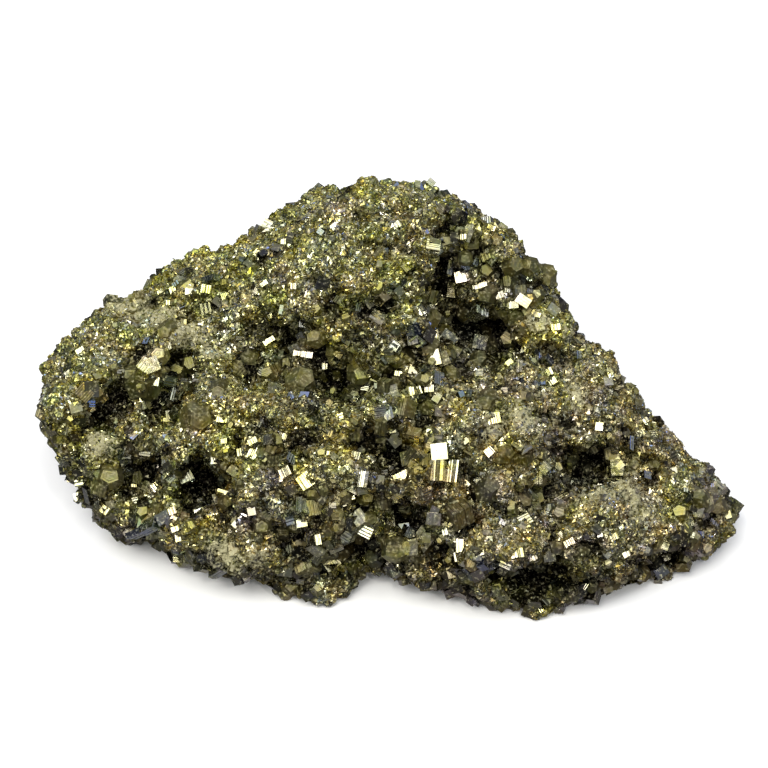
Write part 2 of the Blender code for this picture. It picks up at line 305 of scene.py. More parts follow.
# %% Nudge the outline
NUDGES = (  # across, up, reach, then how far across and up, in mm
    (38, 6.3, 4.5, 1.1, 1), (58.8, -18.4, 5, 1.3, 0), (26.9, -36.6, 8, 0, -0.8),
    (18.7, -35.8, 3.5, 0, -1), (-5.5, -31.7, 3, 1.9, -0.5), (-59.5, -1.4, 6, -1.1, 0),
    (-52.3, 12.3, 6, 1.1, -1.1), (-49.2, -22.7, 4, 0.9, 0.9), (-37, -28.1, 4, 0.3, 1.2),
    (-15.2, 33.9, 4, 0.6, -1.3), (-1.2, 37, 7, 0, 0.8), (9.9, 35.3, 3, 0.3, 0.8), (26.9, 22, 4, 0.6, 0.6),
    (49.9, -29.5, 5, 0.2, -0.8), (-14.8, -34.8, 4, 0, -0.9), (-25.9, -31.2, 3, 0, -0.8),
    (-19.1, -33.2, 2.5, 0, 1), (12.4, -34.8, 4, 0, 0.8), (-41.2, 19.6, 3, -0.3, 0.8),
    (32.5, 12.3, 4, -0.6, -0.6), (44.5, -1.4, 3, -0.6, -0.6), (-34.4, 24.7, 3, 0.3, -0.7),
    (56.7, -24.4, 3, -0.5, 0.5),
)


def on_board(points, normals):
    """The places (across, up) of points in mm, and how squarely each faces the eye, 0 to 1."""
    ray = points - np.array(eye)
    away = ray @ np.array(line)
    hit = np.array(eye) + ray * (EYE_DISTANCE / away)[:, None] - np.array(BOARD_MIDDLE)
    facing = -(normals * unit(ray)).sum(axis=1)
    return hit @ np.array(right) / MM, hit @ np.array(upward) / MM, np.clip(facing * 3, 0, 1)


def nudged(points):
    """Points shifted along the board near each nudge, by exp(-1.5 (distance / reach)^2)."""
    across, up, _ = on_board(points, points)
    shift = np.zeros((len(points), 2))
    for middle, height, reach, push, lift in NUDGES:
        share = np.exp(-1.5 * ((across - middle) ** 2 + (up - height) ** 2) / reach**2)
        shift += share[:, None] * (push, lift)
    return points + (shift[:, :1] * np.array(right) + shift[:, 1:] * np.array(upward)) * MM


def point_normals(points, triangles):
    """The mean normal of the triangles round each point, by area."""
    flat = area_vectors(points[triangles])
    return unit(summed(triangles.ravel(), np.repeat(flat, 3, axis=0), len(points)))


form_points = nudged(form_points)
form_normals = point_normals(form_points, form_triangles)
form_normals = unit(relaxed(form_normals, form_edges, NORMAL_ROUNDS))
print("nudges:", len(NUDGES))

# %% [markdown]
# ## Noise for a mineral surface
#
# A druse is made of cells: each crystal fills the space up to its neighbours. Cell noise gives
# that: space is cut into boxes with one seed point each, and a point's two nearest seeds say
# how far it is from the border between two cells. Smooth noise varies slowly, and serves for
# ragged borders and for flecks.

# %% Cell noise
def scramble(corner, seed):
    """Three even random numbers from 0 to 1 for each row of box numbers, by integer mixing."""
    key = corner.astype(np.int64) @ np.array([73856093, 19349663, 83492791]) + seed * 7919
    numbers = []
    for step in range(3):
        mixed = (key * 2654435761 + step * 40503 + 12345) & 0xFFFFFFFF
        mixed = ((mixed ^ (mixed >> 15)) * 2246822519) & 0xFFFFFFFF
        mixed = ((mixed ^ (mixed >> 13)) * 3266489917) & 0xFFFFFFFF
        numbers.append(((mixed ^ (mixed >> 16)) & 0xFFFFFF) / 0xFFFFFF)
    return np.stack(numbers, axis=1)


def cell_noise(points, size, seed):
    """Distance to the nearest and second nearest seed, in cells, and the nearest cell's numbers.

    Each box of that size holds one seed at a random place, and only the 27 boxes round a point
    can hold its two nearest."""
    scaled = points / size
    box = np.floor(scaled).astype(np.int64)
    near = np.full(len(points), 9.0)
    second = np.full(len(points), 9.0)
    numbers = np.zeros((len(points), 3))
    for offset in np.ndindex(3, 3, 3):
        corner = box + np.array(offset) - 1
        value = scramble(corner, seed)
        distance = np.linalg.norm(corner + value - scaled, axis=1)
        nearer = distance < near
        second = np.where(nearer, near, np.minimum(second, distance))
        numbers[nearer] = value[nearer]
        near = np.minimum(near, distance)
    return near, second, numbers


print("mean distance to a seed:", cell_noise(form_points, 5 * MM, 1)[0].mean().round(2), "cells")

# %% [markdown]
# ## Slow changes
#
# Smooth noise is the other half of it: one random value on each corner of a box, blended
# between them by the curve 3t^2 - 2t^3, which starts and ends level and so leaves no creases.

# %% Smooth noise
def smooth_noise(points, size, seed):
    """Random values on the corners of boxes of that size, blended evenly between them."""
    scaled = points / size
    box = np.floor(scaled).astype(np.int64)
    part = scaled - box
    part = part * part * (3 - 2 * part)
    total = np.zeros(len(points))
    for offset in np.ndindex(2, 2, 2):
        share = np.prod(np.where(np.array(offset) == 1, part, 1 - part), axis=1)
        total += share * scramble(box + np.array(offset), seed)[:, 0]
    return total


print("mean of the smooth noise:", smooth_noise(form_points, 5 * MM, 1).mean().round(2))

# %% [markdown]
# ## Gaps between the lumps
#
# The lumps grew until they nearly met, and left narrow gaps between them that go deeper than
# they are wide. A texture could only darken them, and the crystals would still stand on level
# ground, so the form itself is sunk; the gaps are also painted dark further down, as painted
# shade. On the front each gap is an ellipse at its place on the board. On the other sides they
# follow the borders between the cells of a coarse cell noise.

# %% Places of the gaps
GAPS = (  # across, up, half length, half width in mm, turn in degrees
    (9.8, 18.2, 6, 2.6, 88), (17, 11.3, 6.8, 4.2, -20), (11.5, 14, 4, 2.6, 60),
    (19.5, 21.2, 3.6, 1.4, -28), (26, 19, 2, 1.5, 0), (11.1, 29.3, 3, 1.9, 20), (15.4, 25.5, 2.2, 1.7, 0),
    (-8, 2.9, 5.5, 3, -10), (-15.5, 3, 4.5, 1.8, -10), (-11.4, 6.3, 2.2, 1.8, 40),
    (0.5, 3.7, 4, 1.8, -40), (3.9, 7.2, 2.5, 1.6, 60), (12.4, 5.4, 3.5, 1.8, -20),
    (17.5, 6.3, 2.6, 1.3, 0), (-23.4, 5, 2.6, 1.7, 86), (-17.4, 8.9, 1.9, 1.5, -76),
    (-17.4, 5.3, 1.6, 0.9, 68), (6.5, -3, 3.8, 1.9, 80), (29.5, 6.3, 2.6, 1.1, 0),
    (39.7, 1.7, 1.3, 1.2, 0), (-14.4, -7.7, 4, 1.7, 30), (-2.9, -7.3, 4.5, 2, 10),
    (1.4, -10.7, 3.6, 2.6, -30), (-25.9, -8.5, 2.5, 1.2, 85), (-31.2, -14.6, 4.6, 3, 45),
    (-33.6, -19.2, 2, 1.5, 0), (-47, -1.6, 6.8, 2.7, 57), (-38.7, -0.9, 3.5, 2.6, 75),
    (-35.8, 6, 3.4, 2, -25), (-42.1, 7.2, 2.4, 1.2, 60), (-38.7, 10.6, 1.6, 1, 20),
    (-8, 16, 2.1, 1.1, -10), (-2, 14.8, 3.7, 1.6, 20), (-11.9, 19.9, 1.3, 1, -20),
    (4.8, 21.3, 1.3, 1, -20), (-5.1, 30.8, 1.1, 1, 60), (-37.5, -9.5, 2.2, 1, 10),
    (-41.2, -13, 3.4, 2.2, 30), (-44.3, -16.5, 2.1, 1.3, -9), (-48, -17, 1.6, 0.9, 90),
    (-3.7, -18.4, 4.5, 1.6, 15), (3.4, -21, 3.1, 2.5, -30), (-4.6, -25.6, 4.5, 1.8, 25),
    (0, -26.9, 2, 1.1, 0), (-11.4, -20.1, 4.6, 1.3, 75), (-14.8, -26.1, 2.5, 1.2, -10),
    (13.3, -22.1, 2.5, 1.1, 22), (15, -16.7, 2.8, 1.1, 75), (-23, -21.8, 2, 1, -83),
    (9.4, -27.8, 3.3, 2, -60), (10.2, -31.5, 2.2, 1, 0), (24.5, -31.2, 8, 2.5, -4),
    (28.6, -28.6, 3, 2.2, 80), (31.2, -32, 3.5, 1.6, 0), (25.5, -34.8, 6.5, 1.5, 0),
    (34.1, -26.4, 2.5, 2.1, 0), (35.4, -10.7, 4.6, 3, 0), (29.5, -9, 3.1, 1.8, 80),
    (27.5, -16, 6, 2.2, 32), (33.6, -12.6, 4.2, 2.6, 30), (41.7, -8.5, 2.6, 1.4, 60),
    (44.3, -11.1, 1.6, 0.9, 0), (47.4, -28, 5, 2, 25), (55.9, -20.1, 3.7, 1.4, 40),
    (43.1, -28.1, 2.5, 1.1, 0), (53.3, -26.9, 1.5, 0.9, 0), (-9.7, -30.3, 3.3, 1.3, -27),
    (-14.8, -32, 2.2, 1.1, 0), (16.5, -6.8, 4.5, 0.9, 35), (28.6, -23, 4, 0.9, 85),
    (19.5, 1.4, 3.5, 0.8, 15), (30, -4.2, 5, 0.9, -15), (38, -4.6, 4, 0.8, -40), (27, 8, 4, 0.9, -15),
    (14, -13, 4, 0.9, -60), (20.5, -19.3, 4.5, 1, -20), (44.5, -14, 4, 0.8, 40),
    (-13.5, -2.6, 4, 0.9, -20), (-22, -5.4, 4, 0.8, 25), (-26.5, -17.5, 4, 0.8, 70),
    (-17, -23.4, 5, 0.9, -15), (-2, 9.5, 5, 0.8, -10), (-10, 14, 4, 0.8, 10), (-30, 15.4, 5, 0.9, 20),
    (-40, 16.4, 4, 0.9, 30), (-20, 24, 6, 0.7, 25), (0, 25.5, 6, 0.7, -10), (-52, -6, 5, 0.9, 30),
    (-44, -8.5, 4, 0.9, 0),
)
print("gaps on the front:", len(GAPS))

# %% [markdown]
# ## How deep a gap goes
#
# Inside an ellipse the depth falls off as a bell curve, which rounds both the rim and the
# floor. It counts only where the surface faces the eye, so nothing is sunk on the far side.

# %% Gaps on the front and the back
GAP_DEPTH = 1.8  # in half widths
GAP_FALL, NEAR_FALL = 1.1, 0.3  # how fast a gap, and the room near it, fade out past the rim
BACK_LUMP = 9 * MM
BACK_GAP_DEPTH = 2.2 * MM
# painted shade: the gaps at the back are painted this dark
BACK_SHARE = 0.8  # the gaps at the back count as this dark
BACK_BORDER = 0.3  # how wide a gap at the back is, in cells
BACK_NEAR = 0.7  # and what lies near it


def ellipse(across, up, middle, height, half_length, half_width, turn):
    """The square of how far places lie from an ellipse's middle, 1 on its rim."""
    turn = math.radians(turn)
    along = (across - middle) * math.cos(turn) + (up - height) * math.sin(turn)
    over = (up - height) * math.cos(turn) - (across - middle) * math.sin(turn)
    return (along / half_length) ** 2 + (over / half_width) ** 2


def gaps_at(points, normals):
    """How far in a gap and how near to one each point is, from 0 to 1, and its depth there."""
    across, up, facing = on_board(points, normals)
    share, wide, depth = np.zeros((3, len(points)))
    for row in GAPS:
        far = ellipse(across, up, *row)
        fall = np.exp(-GAP_FALL * far) * facing
        share = np.maximum(share, fall)
        wide = np.maximum(wide, np.exp(-NEAR_FALL * far) * facing)
        depth = np.maximum(depth, fall * GAP_DEPTH * row[3] * MM)
    near, second, _ = cell_noise(points, BACK_LUMP, 21)
    border = np.clip(1 - (second - near) / BACK_BORDER, 0, 1) * (1 - facing)
    wide_border = np.clip(1 - (second - near) / BACK_NEAR, 0, 1) * (1 - facing)
    wide = np.maximum(wide, wide_border)
    share = np.maximum(share, border * BACK_SHARE)
    return share, wide, np.maximum(depth, border * BACK_GAP_DEPTH)


gap, _, depth = gaps_at(form_points, form_normals)
print("deepest gap:", round(float(depth.max() / MM), 1), "mm, share in gaps:", gap.mean().round(2))

# %% [markdown]
# ## Pieces from arrays
#
# Each visible piece is one mesh at the origin, made from an array of points and one of faces.
# Its shading is flat, because a crystal's faces are flat and smoothed normals would make it a
# ball.

# %% Make a piece
def make_piece(name, points, faces):
    """A mesh object at the origin from an array of points and one of equal-sided faces."""
    mesh = bpy.data.meshes.new(name)
    sides = faces.shape[1]
    mesh.vertices.add(len(points))
    mesh.vertices.foreach_set("co", points.ravel())
    mesh.loops.add(faces.size)
    mesh.loops.foreach_set("vertex_index", faces.ravel().astype(np.int32))
    mesh.polygons.add(len(faces))
    mesh.polygons.foreach_set("loop_start", np.arange(0, faces.size, sides, dtype=np.int32))
    mesh.update(calc_edges=True)
    mesh.shade_flat()
    piece = bpy.data.objects.new(name, mesh)
    bpy.context.scene.collection.objects.link(piece)
    return piece


def store_steps(piece, values):
    """Writes a place across the growth steps, in mm, for each corner of each face."""
    layer = piece.data.attributes.new("steps", "FLOAT", "CORNER")
    layer.data.foreach_set("value", values.ravel().astype(np.float32))


print("pieces are made with flat shading")

# %% [markdown]
# ## The large crystals as a piece of their own
#
# On the sides and the back, the solid's large crystals are shown as they are. Their faces are
# an open shell once the rock is gone, so each cluster is closed by a fan from its rim to one
# root point inside the rock. A new set of crystals there would not sit where the solid has
# them. On the front they give way to the ones that are set one by one further down.

# %% Cut the large crystals out
CRYSTAL_ROOT = 1.2 * MM  # how far a crystal's root reaches into the crust
HIDDEN = 0.08  # a cluster is kept where it faces the eye less squarely than this


def rooted_shells(points, triangles):
    """Closes each open shell with triangles from its rim to one point under its middle.

    The point lies under the mean of the shell's corners, against its mean normal."""
    first, second, _ = shared_edges(triangles)
    label = labelled(len(triangles), first, second)
    corners = points[triangles]
    flat = area_vectors(corners)
    area = np.linalg.norm(flat, axis=1)
    shells = label.max() + 1
    middle = summed(label, corners.mean(axis=1) * area[:, None], shells)
    middle /= np.bincount(label, area, shells)[:, None]
    root = middle - unit(summed(label, flat, shells)) * CRYSTAL_ROOT
    sides = sides_of(triangles)
    owner = np.tile(np.arange(len(triangles)), 3)
    rim = used_once(np.sort(sides, axis=1) @ np.array([len(points), 1]))
    fan = np.stack([sides[rim][:, 1], sides[rim][:, 0], len(points) + label[owner[rim]]], axis=1)
    return np.concatenate([points, root]), np.concatenate([triangles, fan]), shells


def compact(points, triangles):
    """Drops the points that no triangle uses."""
    used, inverse = np.unique(triangles, return_inverse=True)
    return points[used], inverse.reshape(triangles.shape)


solid_corners = solid_points[solid_triangles]
_, _, squarely = on_board(solid_corners.mean(axis=1), unit(area_vectors(solid_corners)))
first, second, _ = shared_edges(solid_triangles)
joined = on_crystal[first] & on_crystal[second]
cluster = labelled(len(solid_triangles), first[joined], second[joined])
on_crystal &= (np.bincount(cluster, squarely) / np.bincount(cluster) < HIDDEN)[cluster]
rooted, rooted_triangles, shells = rooted_shells(solid_points, solid_triangles[on_crystal])
large = make_piece("large_crystals", *compact(rooted, rooted_triangles))
large_points = read(large.data.vertices, "co", 3)
large_steps = np.zeros((len(rooted_triangles), 3))
large_steps[: on_crystal.sum()] = steps[on_crystal]
store_steps(large, large_steps / MM)
print("large crystals:", shells, "clusters,", len(rooted_triangles), "triangles")

# %% [markdown]
# ## The form sinks into the gaps
#
# Every point of the form moves inward by its gap's depth. Under a large crystal it has to stay
# where it is, or the crystal would hang in the air. Ninety thousand marks scattered on the
# crystals' faces tell which points those are.

# %% Scatter marks and sink the form
MARKS = 90000
KEPT_NEAR = 0.8 * MM  # the form isn't sunk this near to a large crystal


def scatter(points, triangles, weights, count, rng):
    """Random places on triangles picked by area times weight, with the triangle of each."""
    corners = points[triangles]
    area = np.linalg.norm(area_vectors(corners), axis=1)
    total = np.cumsum(area * weights)
    picked = np.searchsorted(total, rng.random(count) * total[-1]).clip(0, len(total) - 1)
    a, b = rng.random((2, count))
    over = a + b > 1
    a, b = np.where(over, 1 - a, a)[:, None], np.where(over, 1 - b, b)[:, None]
    first, second, third = corners[picked, 0], corners[picked, 1], corners[picked, 2]
    return first + (second - first) * a + (third - first) * b, picked


def near_any(points, marks, cell):
    """Whether each point lies in or beside a box of that size that holds one of the marks."""
    def key(boxes):
        return (boxes[:, 0] * 2000 + boxes[:, 1]) * 2000 + boxes[:, 2]

    filled = np.unique(key(np.floor(marks / cell).astype(np.int64) + 1000))
    box = np.floor(points / cell).astype(np.int64) + 1000
    found = np.zeros(len(points), bool)
    for offset in np.ndindex(3, 3, 3):
        found |= np.isin(key(box + np.array(offset) - 1), filled)
    return found


rng = np.random.default_rng(11)
marks, _ = scatter(solid_points, solid_triangles, on_crystal.astype(float), MARKS, rng)
kept = near_any(form_points, marks, KEPT_NEAR).astype(float)[:, None]
kept = relaxed(kept, form_edges, 3)[:, 0]
form_points = form_points - form_normals * (depth * (1 - kept))[:, None]
form_points[:, 2] = np.maximum(form_points[:, 2], 0)
form = bpy.data.meshes.new("form")
form.from_pydata(form_points.tolist(), [], form_triangles.tolist())
print("share kept under large crystals:", kept.mean().round(3))

# %% [markdown]
# ## Relief of the crust
#
# The form is remeshed once more on a fine grid, and raised into cobbles, knobs and ledges. Each
# is a cell noise, highest in the middle of its cells and lowest on their borders. Displacement
# in the material would do the same in a render, but the mesh would stay plain. The skin dips
# under the large crystals, so they stand out of it with flat faces and sharp edges.

# %% Raise the crust
CRUST_GRID = 0.61 * MM
CRUST_ROUNDS = 4
CRUST_RISE = 0.45 * MM  # how far the skin lies outside the solid
CRUST_DIP = 0.7 * MM  # how far it passes under the large crystals
DIP_NEAR = 0.4 * MM
RELIEF = ((4.6 * MM, 1.3 * MM), (2.4 * MM, 0.8 * MM), (1.4 * MM, 0.5 * MM))  # cell, height
CELL_TOP, CELL_LEVEL = 0.5, 0.6  # a cell is flat this far from its border, and sinks on it
LEDGE = (2.0 * MM, 0.35 * MM)
CRUST_FLOOR = 0.02 * MM  # the crust's lowest point, just above the ground

crust_points, crust_triangles, crust_edges = remeshed(form, CRUST_GRID)
softened = relaxed(crust_points, crust_edges, CRUST_ROUNDS)
outward = unit(relaxed(point_normals(softened, crust_triangles), crust_edges, NORMAL_ROUNDS))
gap, wide, _ = gaps_at(softened, outward)
under_crystal = near_any(crust_points, marks, DIP_NEAR).astype(float)[:, None]
under_crystal = relaxed(under_crystal, crust_edges, 3)[:, 0] > 0.7
bare = 1 - relaxed(under_crystal.astype(float)[:, None], crust_edges, 1)[:, 0]
rise = CRUST_RISE * bare - CRUST_DIP * (1 - bare)
for seed, (size, height) in enumerate(RELIEF, 1):
    near, second, _ = cell_noise(softened, size, seed)
    rise += height * (np.clip(second - near, 0, CELL_TOP) / CELL_TOP - CELL_LEVEL) * bare
_, _, numbers = cell_noise(softened, LEDGE[0], 9)
rise += LEDGE[1] * (numbers[:, 0] - 0.5) * bare
crust_points = softened + outward * rise[:, None]
crust_points[:, 2] = np.maximum(crust_points[:, 2], CRUST_FLOOR)
crust_normals = point_normals(crust_points, crust_triangles)
print("crust:", len(crust_triangles), "triangles,", int(under_crystal.sum()), "points dip under crystals")

# %% [markdown]
# ## Where the crystals had room
#
# Crystals are larger in hollows and finer on the backs of the lumps. Two measures tell one from
# the other: how far a point lies below the much smoothed surface, and how much of a ball round
# it is rock. The second is worked out on a grid of boxes, because casting rays from every point
# takes minutes.

# %% Measure hollows on the crust
SMOOTH_ROUNDS = 90  # lumps of a few millimetres are gone after these
HOLLOW_DEPTH = 0.35  # in mm: deeper points count as hollow
HOLLOW_SLOPE = 3.0  # how sharply they begin to
BALL_BOX, BALL_REACH = 1 * MM, 4 * MM
LEVEL_FILL, DEEP_FILL = 0.5, 0.25  # rock round a level point, and how much more a deep one has


def fill_round(points, triangles, step, reach):
    """How much of the ball of about that radius round each point is rock, from 0 to 1.

    The triangles' upward areas are summed up each column of a grid of boxes, which gives 1
    inside and 0 outside. Three box averages along each axis then stand in for the ball."""
    corners = points[triangles]
    up = area_vectors(corners)[:, 2] / 2
    low = points.min(axis=0) - 3 * reach
    shape = np.ceil((points.max(axis=0) + 3 * reach - low) / step).astype(int)
    box = ((corners.mean(axis=1) - low) / step).astype(int)
    flat = np.ravel_multi_index(box.T, shape)
    rock = -np.bincount(flat, up, int(np.prod(shape))).reshape(shape).cumsum(axis=2) / step**2
    width = max(int(round(reach / step)), 1)
    for axis in (0, 1, 2):
        for _ in range(3):
            run = rock.cumsum(axis=axis)
            rock = (run - np.roll(run, width, axis=axis)) / width
            rock = np.roll(rock, -(width // 2), axis=axis)
    at = ((points - low) / step).astype(int)
    return rock[at[:, 0], at[:, 1], at[:, 2]]


far = relaxed(crust_points, crust_edges, SMOOTH_ROUNDS)
depth_mm = ((far - crust_points) * outward).sum(axis=1) / MM
hollow = 1 / (1 + np.exp(-(depth_mm - HOLLOW_DEPTH) * HOLLOW_SLOPE))
fill = fill_round(crust_points, crust_triangles, BALL_BOX, BALL_REACH)
deep = np.clip((fill - LEVEL_FILL) / DEEP_FILL, 0, 1)
print("hollow share:", hollow.mean().round(2), "deep share:", deep.mean().round(2))

# %% [markdown]
# ## Rooms of packed crystals
#
# Beside the gaps there are whole rooms where larger, darker crystals stand side by side with no
# fine druse between them. They are ellipses on the board like the gaps, with ragged borders. A
# crystal's room and the shade of a place are then mixed from all of these measures. The shade is
# painted shade: hollows, deep places, gaps and rooms get a darker colour where real shade falls.

# %% Rooms, room and shade
ROOMS = (  # across, up, half length, half width in mm, turn in degrees
    (-13, 3, 9, 5, -5), (2, 5, 8, 5, 0), (7, 13, 4, 3, 30), (14, 9, 6, 5, 0), (14, 18, 5, 8, 0),
    (22, 18, 6, 5, -30), (13, 26, 5, 4, 0), (-23.4, 5, 2.6, 3, 0), (-40, 3, 7, 5, -20), (-1, -6, 6, 4, 0),
    (5, -12, 6, 4, 0), (-18, -10, 5, 3, 0), (-13, -18, 4.5, 4, 0), (-3, -18, 6, 5, 0),
    (-8, -25, 8, 4, 10), (2, -26, 7, 4, 0), (12, -20, 4, 4, 0), (13, -28, 4, 4, 0), (26, -31, 9, 4, 0),
    (35, -12, 6, 4, 20), (23, -11, 4, 3, 0), (25, -16, 4, 2.5, 30), (40, -9, 4, 3, 0),
    (54, -19, 4, 5, -40), (48, -27, 8, 2.5, 25), (-44, -12, 5, 4, 0), (-40, -21, 4, 3, 0),
    (-31, -15, 4, 3.6, 0), (-32, 19, 5, 2.5, 0), (-22, 29, 3, 2.5, 0), (-3, 15, 5, 2.5, 0),
    (-50, -1, 3, 5, -30),
)
ROOM_EDGE, ROOM_FADE = 1.25, 0.4  # where a room ends and how softly, in half sizes
RAGGED = 3 * MM  # size of the bays in a room's border
RAGGEDNESS = 1.6


def rooms_at(points, normals):
    """How far inside a room each point is, from 0 to 1, with ragged borders."""
    across, up, facing = on_board(points, normals)
    share = np.zeros(len(points))
    for row in ROOMS:
        inside = ROOM_EDGE - np.sqrt(ellipse(across, up, *row))
        share = np.maximum(share, facing * inside / ROOM_FADE)
    ragged = smooth_noise(points, RAGGED, 31) - 0.5
    return np.clip(share + ragged * RAGGEDNESS * (share > 0), 0, 1)


packed = rooms_at(crust_points, outward)
room = np.clip(np.maximum(np.maximum(0.8 * wide, deep), packed), 0, 1)
# painted shade: a darker colour in hollows, deep places, gaps and rooms
shade = np.clip(0.35 * hollow + 0.75 * np.maximum(deep, gap) + 0.2 * packed, 0, 1)
print("rooms:", len(ROOMS), "share:", packed.mean().round(2), "mean shade:", shade.mean().round(2))

# %% [markdown]
# ## Pale dust
#
# Here and there, a pale grey-green clay mineral still coats the druse and takes its gloss away.
# Its patches are balls round places on the front, broken up by a fleck noise. One noise over
# the whole specimen would put it anywhere, and it lies on ledges that the board can name.

# %% Dust patches
DUST = (  # across, up, radius in mm
    (-46, 15.5, 3), (-42, 14.5, 3.5), (-38, 13.5, 3.5), (-35, 11, 3), (-30, 9, 3), (23, -2.5, 3.5),
    (18, -4.5, 3), (31.5, 0.2, 3), (43, -17, 4.5), (40, -14, 3.5), (34, -17, 3), (37, -15.5, 2.5),
    (31, 11, 2), (26, 13, 2.5), (-28, -27, 3.5), (-22, -28, 3), (-49, -8, 3),
)
FLECK = 4 * MM
DUST_EDGE = 1.4  # where a patch ends, in radii

fleck = smooth_noise(crust_points, FLECK, 6)
solid_tree = BVHTree.FromPolygons(
    [Vector(p) for p in solid_points], [tuple(t) for t in solid_triangles.tolist()]
)
dust = np.zeros(len(crust_points))
for across, up, radius in DUST:
    place = solid_tree.ray_cast(eye, sight_ray(across, up))[0]
    if place is not None:
        away = np.linalg.norm(crust_points - np.array(place), axis=1) / (radius * MM)
        dust = np.maximum(dust, np.clip(DUST_EDGE - away, 0, 1))
dust = np.clip(dust * (0.4 + fleck), 0, 1) ** 1.5
print("dusty share:", (dust > 0.3).mean().round(3))

# %% [markdown]
# ## The crust as a piece
#
# Tone, shade and dust belong to places on the crust, and the finish has to know them. They are
# written into each mesh as one colour attribute, so a grain carries what its place has. A
# painted image could hold them too, but would have to be far finer than the grains.

# %% Make the crust
def store(piece, tone, depth, dust):
    """Writes three values per point as the colour attribute "druse", which the finishes read."""
    layer = piece.data.attributes.new("druse", "FLOAT_COLOR", "POINT")
    values = np.stack([tone, depth, dust, np.ones(len(tone))], axis=1)
    layer.data.foreach_set("color", values.ravel().astype(np.float32))


sides = read(large.data.edges, "vertices", 2, np.int32)
cluster = labelled(len(large_points), sides[:, 0], sides[:, 1])
nothing = np.zeros(len(large_points))
store(large, rng.random(cluster.max() + 1)[cluster], nothing + 0.1, nothing)
crust = make_piece("druse_crust", crust_points, crust_triangles)
# the crust's tone stays low, so it is painted darker than the grains: painted shade between them
store(crust, 0.3 * fleck, shade, dust)
print(crust.name, len(crust_points), "points")

# %% [markdown]
# ## Fine grains
#
# Most of the druse is the corners of tiny cubes. A whole cube for each would cost twelve
# triangles, and most of them lie inside the crust. Each grain is one corner instead: three
# edges leave a tip at right angles, and a fourth face closes it underneath, so it costs only
# four triangles and still has a cube's angles. Its flat faces make the specimen sparkle.

# %% The shape of a grain
GRAIN_TILT = 0.22  # how much a grain leans away from the surface's normal
GRAIN_STRETCH = (0.75, 1.35)
FLAT_RISE, TIP_RISE = 0.25, 0.42  # how far a lying and a pointing grain stand out, in edges


def frames_round(axes, rng):
    """Two unit vectors square to each axis and to each other, spun by a random angle."""
    helper = np.where(np.abs(axes[:, :1]) < 0.7, [[1.0, 0, 0]], [[0, 1.0, 0]])
    side = unit(np.cross(axes, helper))
    other = np.cross(axes, side)
    spin = rng.random((len(axes), 1)) * 2 * math.pi
    return side * np.cos(spin) + other * np.sin(spin), other * np.cos(spin) - side * np.sin(spin)


def cube_corners(places, normals, edge, flat, rng):
    """Cube corners: three edges leave the tip square to each other, and a face closes them.

    A flat one has two edges along the surface and one into it. The others point at the normal:
    each edge leaves at the angle whose cosine is -1/sqrt(3) to it, 120 degrees apart."""
    axis = unit(normals + GRAIN_TILT * rng.normal(0, 1, (len(places), 3)))
    side, other = frames_round(axis, rng)
    lying = (side, other, -axis)
    pointing = []
    for k in range(3):
        angle = 2 * math.pi * k / 3
        round_it = side * math.cos(angle) + other * math.sin(angle)
        pointing.append(axis * -math.sqrt(1 / 3) + round_it * math.sqrt(2 / 3))
    flat, size = flat[:, None], edge[:, None]
    lengths = size * rng.uniform(*GRAIN_STRETCH, (len(places), 3))
    edges = [np.where(flat, a, b) * lengths[:, [k]] for k, (a, b) in enumerate(zip(lying, pointing))]
    low_tip = axis * FLAT_RISE * size - (edges[0] + edges[1]) / 3
    tip = places + np.where(flat, low_tip, axis * TIP_RISE * size)
    points = np.stack([tip] + [tip + e for e in edges], axis=1).reshape(-1, 3)
    faces = np.array([[0, 1, 2], [0, 2, 3], [0, 3, 1], [1, 3, 2]])
    faces = (np.arange(len(places))[:, None, None] * 4 + faces).reshape(-1, 3)
    return points, faces


print("a grain: 4 points, 4 triangles")

# %% [markdown]
# ## Growing the grains
#
# The grains are scattered by area over the crust, thinly where the larger crystals have room.
# About half lie flat, as they do on a real lump, where neighbours that grew together mirror the
# light at once. One mesh of them all would be too heavy, so they come in four pieces.

# %% Grow the grains
GRAINS = 158000
GRAINS_PER_PIECE = 40000
GRAIN_EDGE = (0.34 * MM, 0.7 * MM)
FLAT_GRAINS, FLAT_SIZE = 0.55, 1.15  # share of lying grains, and their size beside the others'
DUST_ON_GRAINS = 1.3  # the dustiest grains have this much more than their place
CRYSTAL_FLOOR = 0.01 * MM  # the lowest point of any grain or crystal


def on_face(values):
    """The mean of a value at the three corners of each of the crust's triangles."""
    return values[crust_triangles].mean(axis=1)


face_room, face_shade, face_dust = on_face(room), on_face(shade), on_face(dust)
face_normals = unit(on_face(crust_normals))
weight = on_face((~under_crystal).astype(float)) ** 2 * (1 - 0.75 * face_room)
places, picked = scatter(crust_points, crust_triangles, weight, GRAINS, rng)
edge = GRAIN_EDGE[0] + (GRAIN_EDGE[1] - GRAIN_EDGE[0]) * rng.random(GRAINS) ** 2
edge *= 0.85 + 0.6 * on_face(hollow)[picked]
for number in range(math.ceil(GRAINS / GRAINS_PER_PIECE)):
    part = slice(number * GRAINS_PER_PIECE, min((number + 1) * GRAINS_PER_PIECE, GRAINS))
    normals = face_normals[picked[part]]
    flat = rng.random(len(normals)) < FLAT_GRAINS
    size = edge[part] * np.where(flat, FLAT_SIZE, 1)
    points, faces = cube_corners(places[part], normals, size, flat, rng)
    points[:, 2] = np.maximum(points[:, 2], CRYSTAL_FLOOR)
    grains = make_piece(f"druse_grains_{number + 1}", points, faces)
    tone = np.repeat(rng.random(len(normals)), 4)
    dusty = np.repeat(rng.uniform(0, DUST_ON_GRAINS, len(normals)), 4)
    owner = np.repeat(picked[part], 4)
    store(grains, tone, face_shade[owner], face_dust[owner] * dusty)
    print(grains.name, len(faces), "triangles")
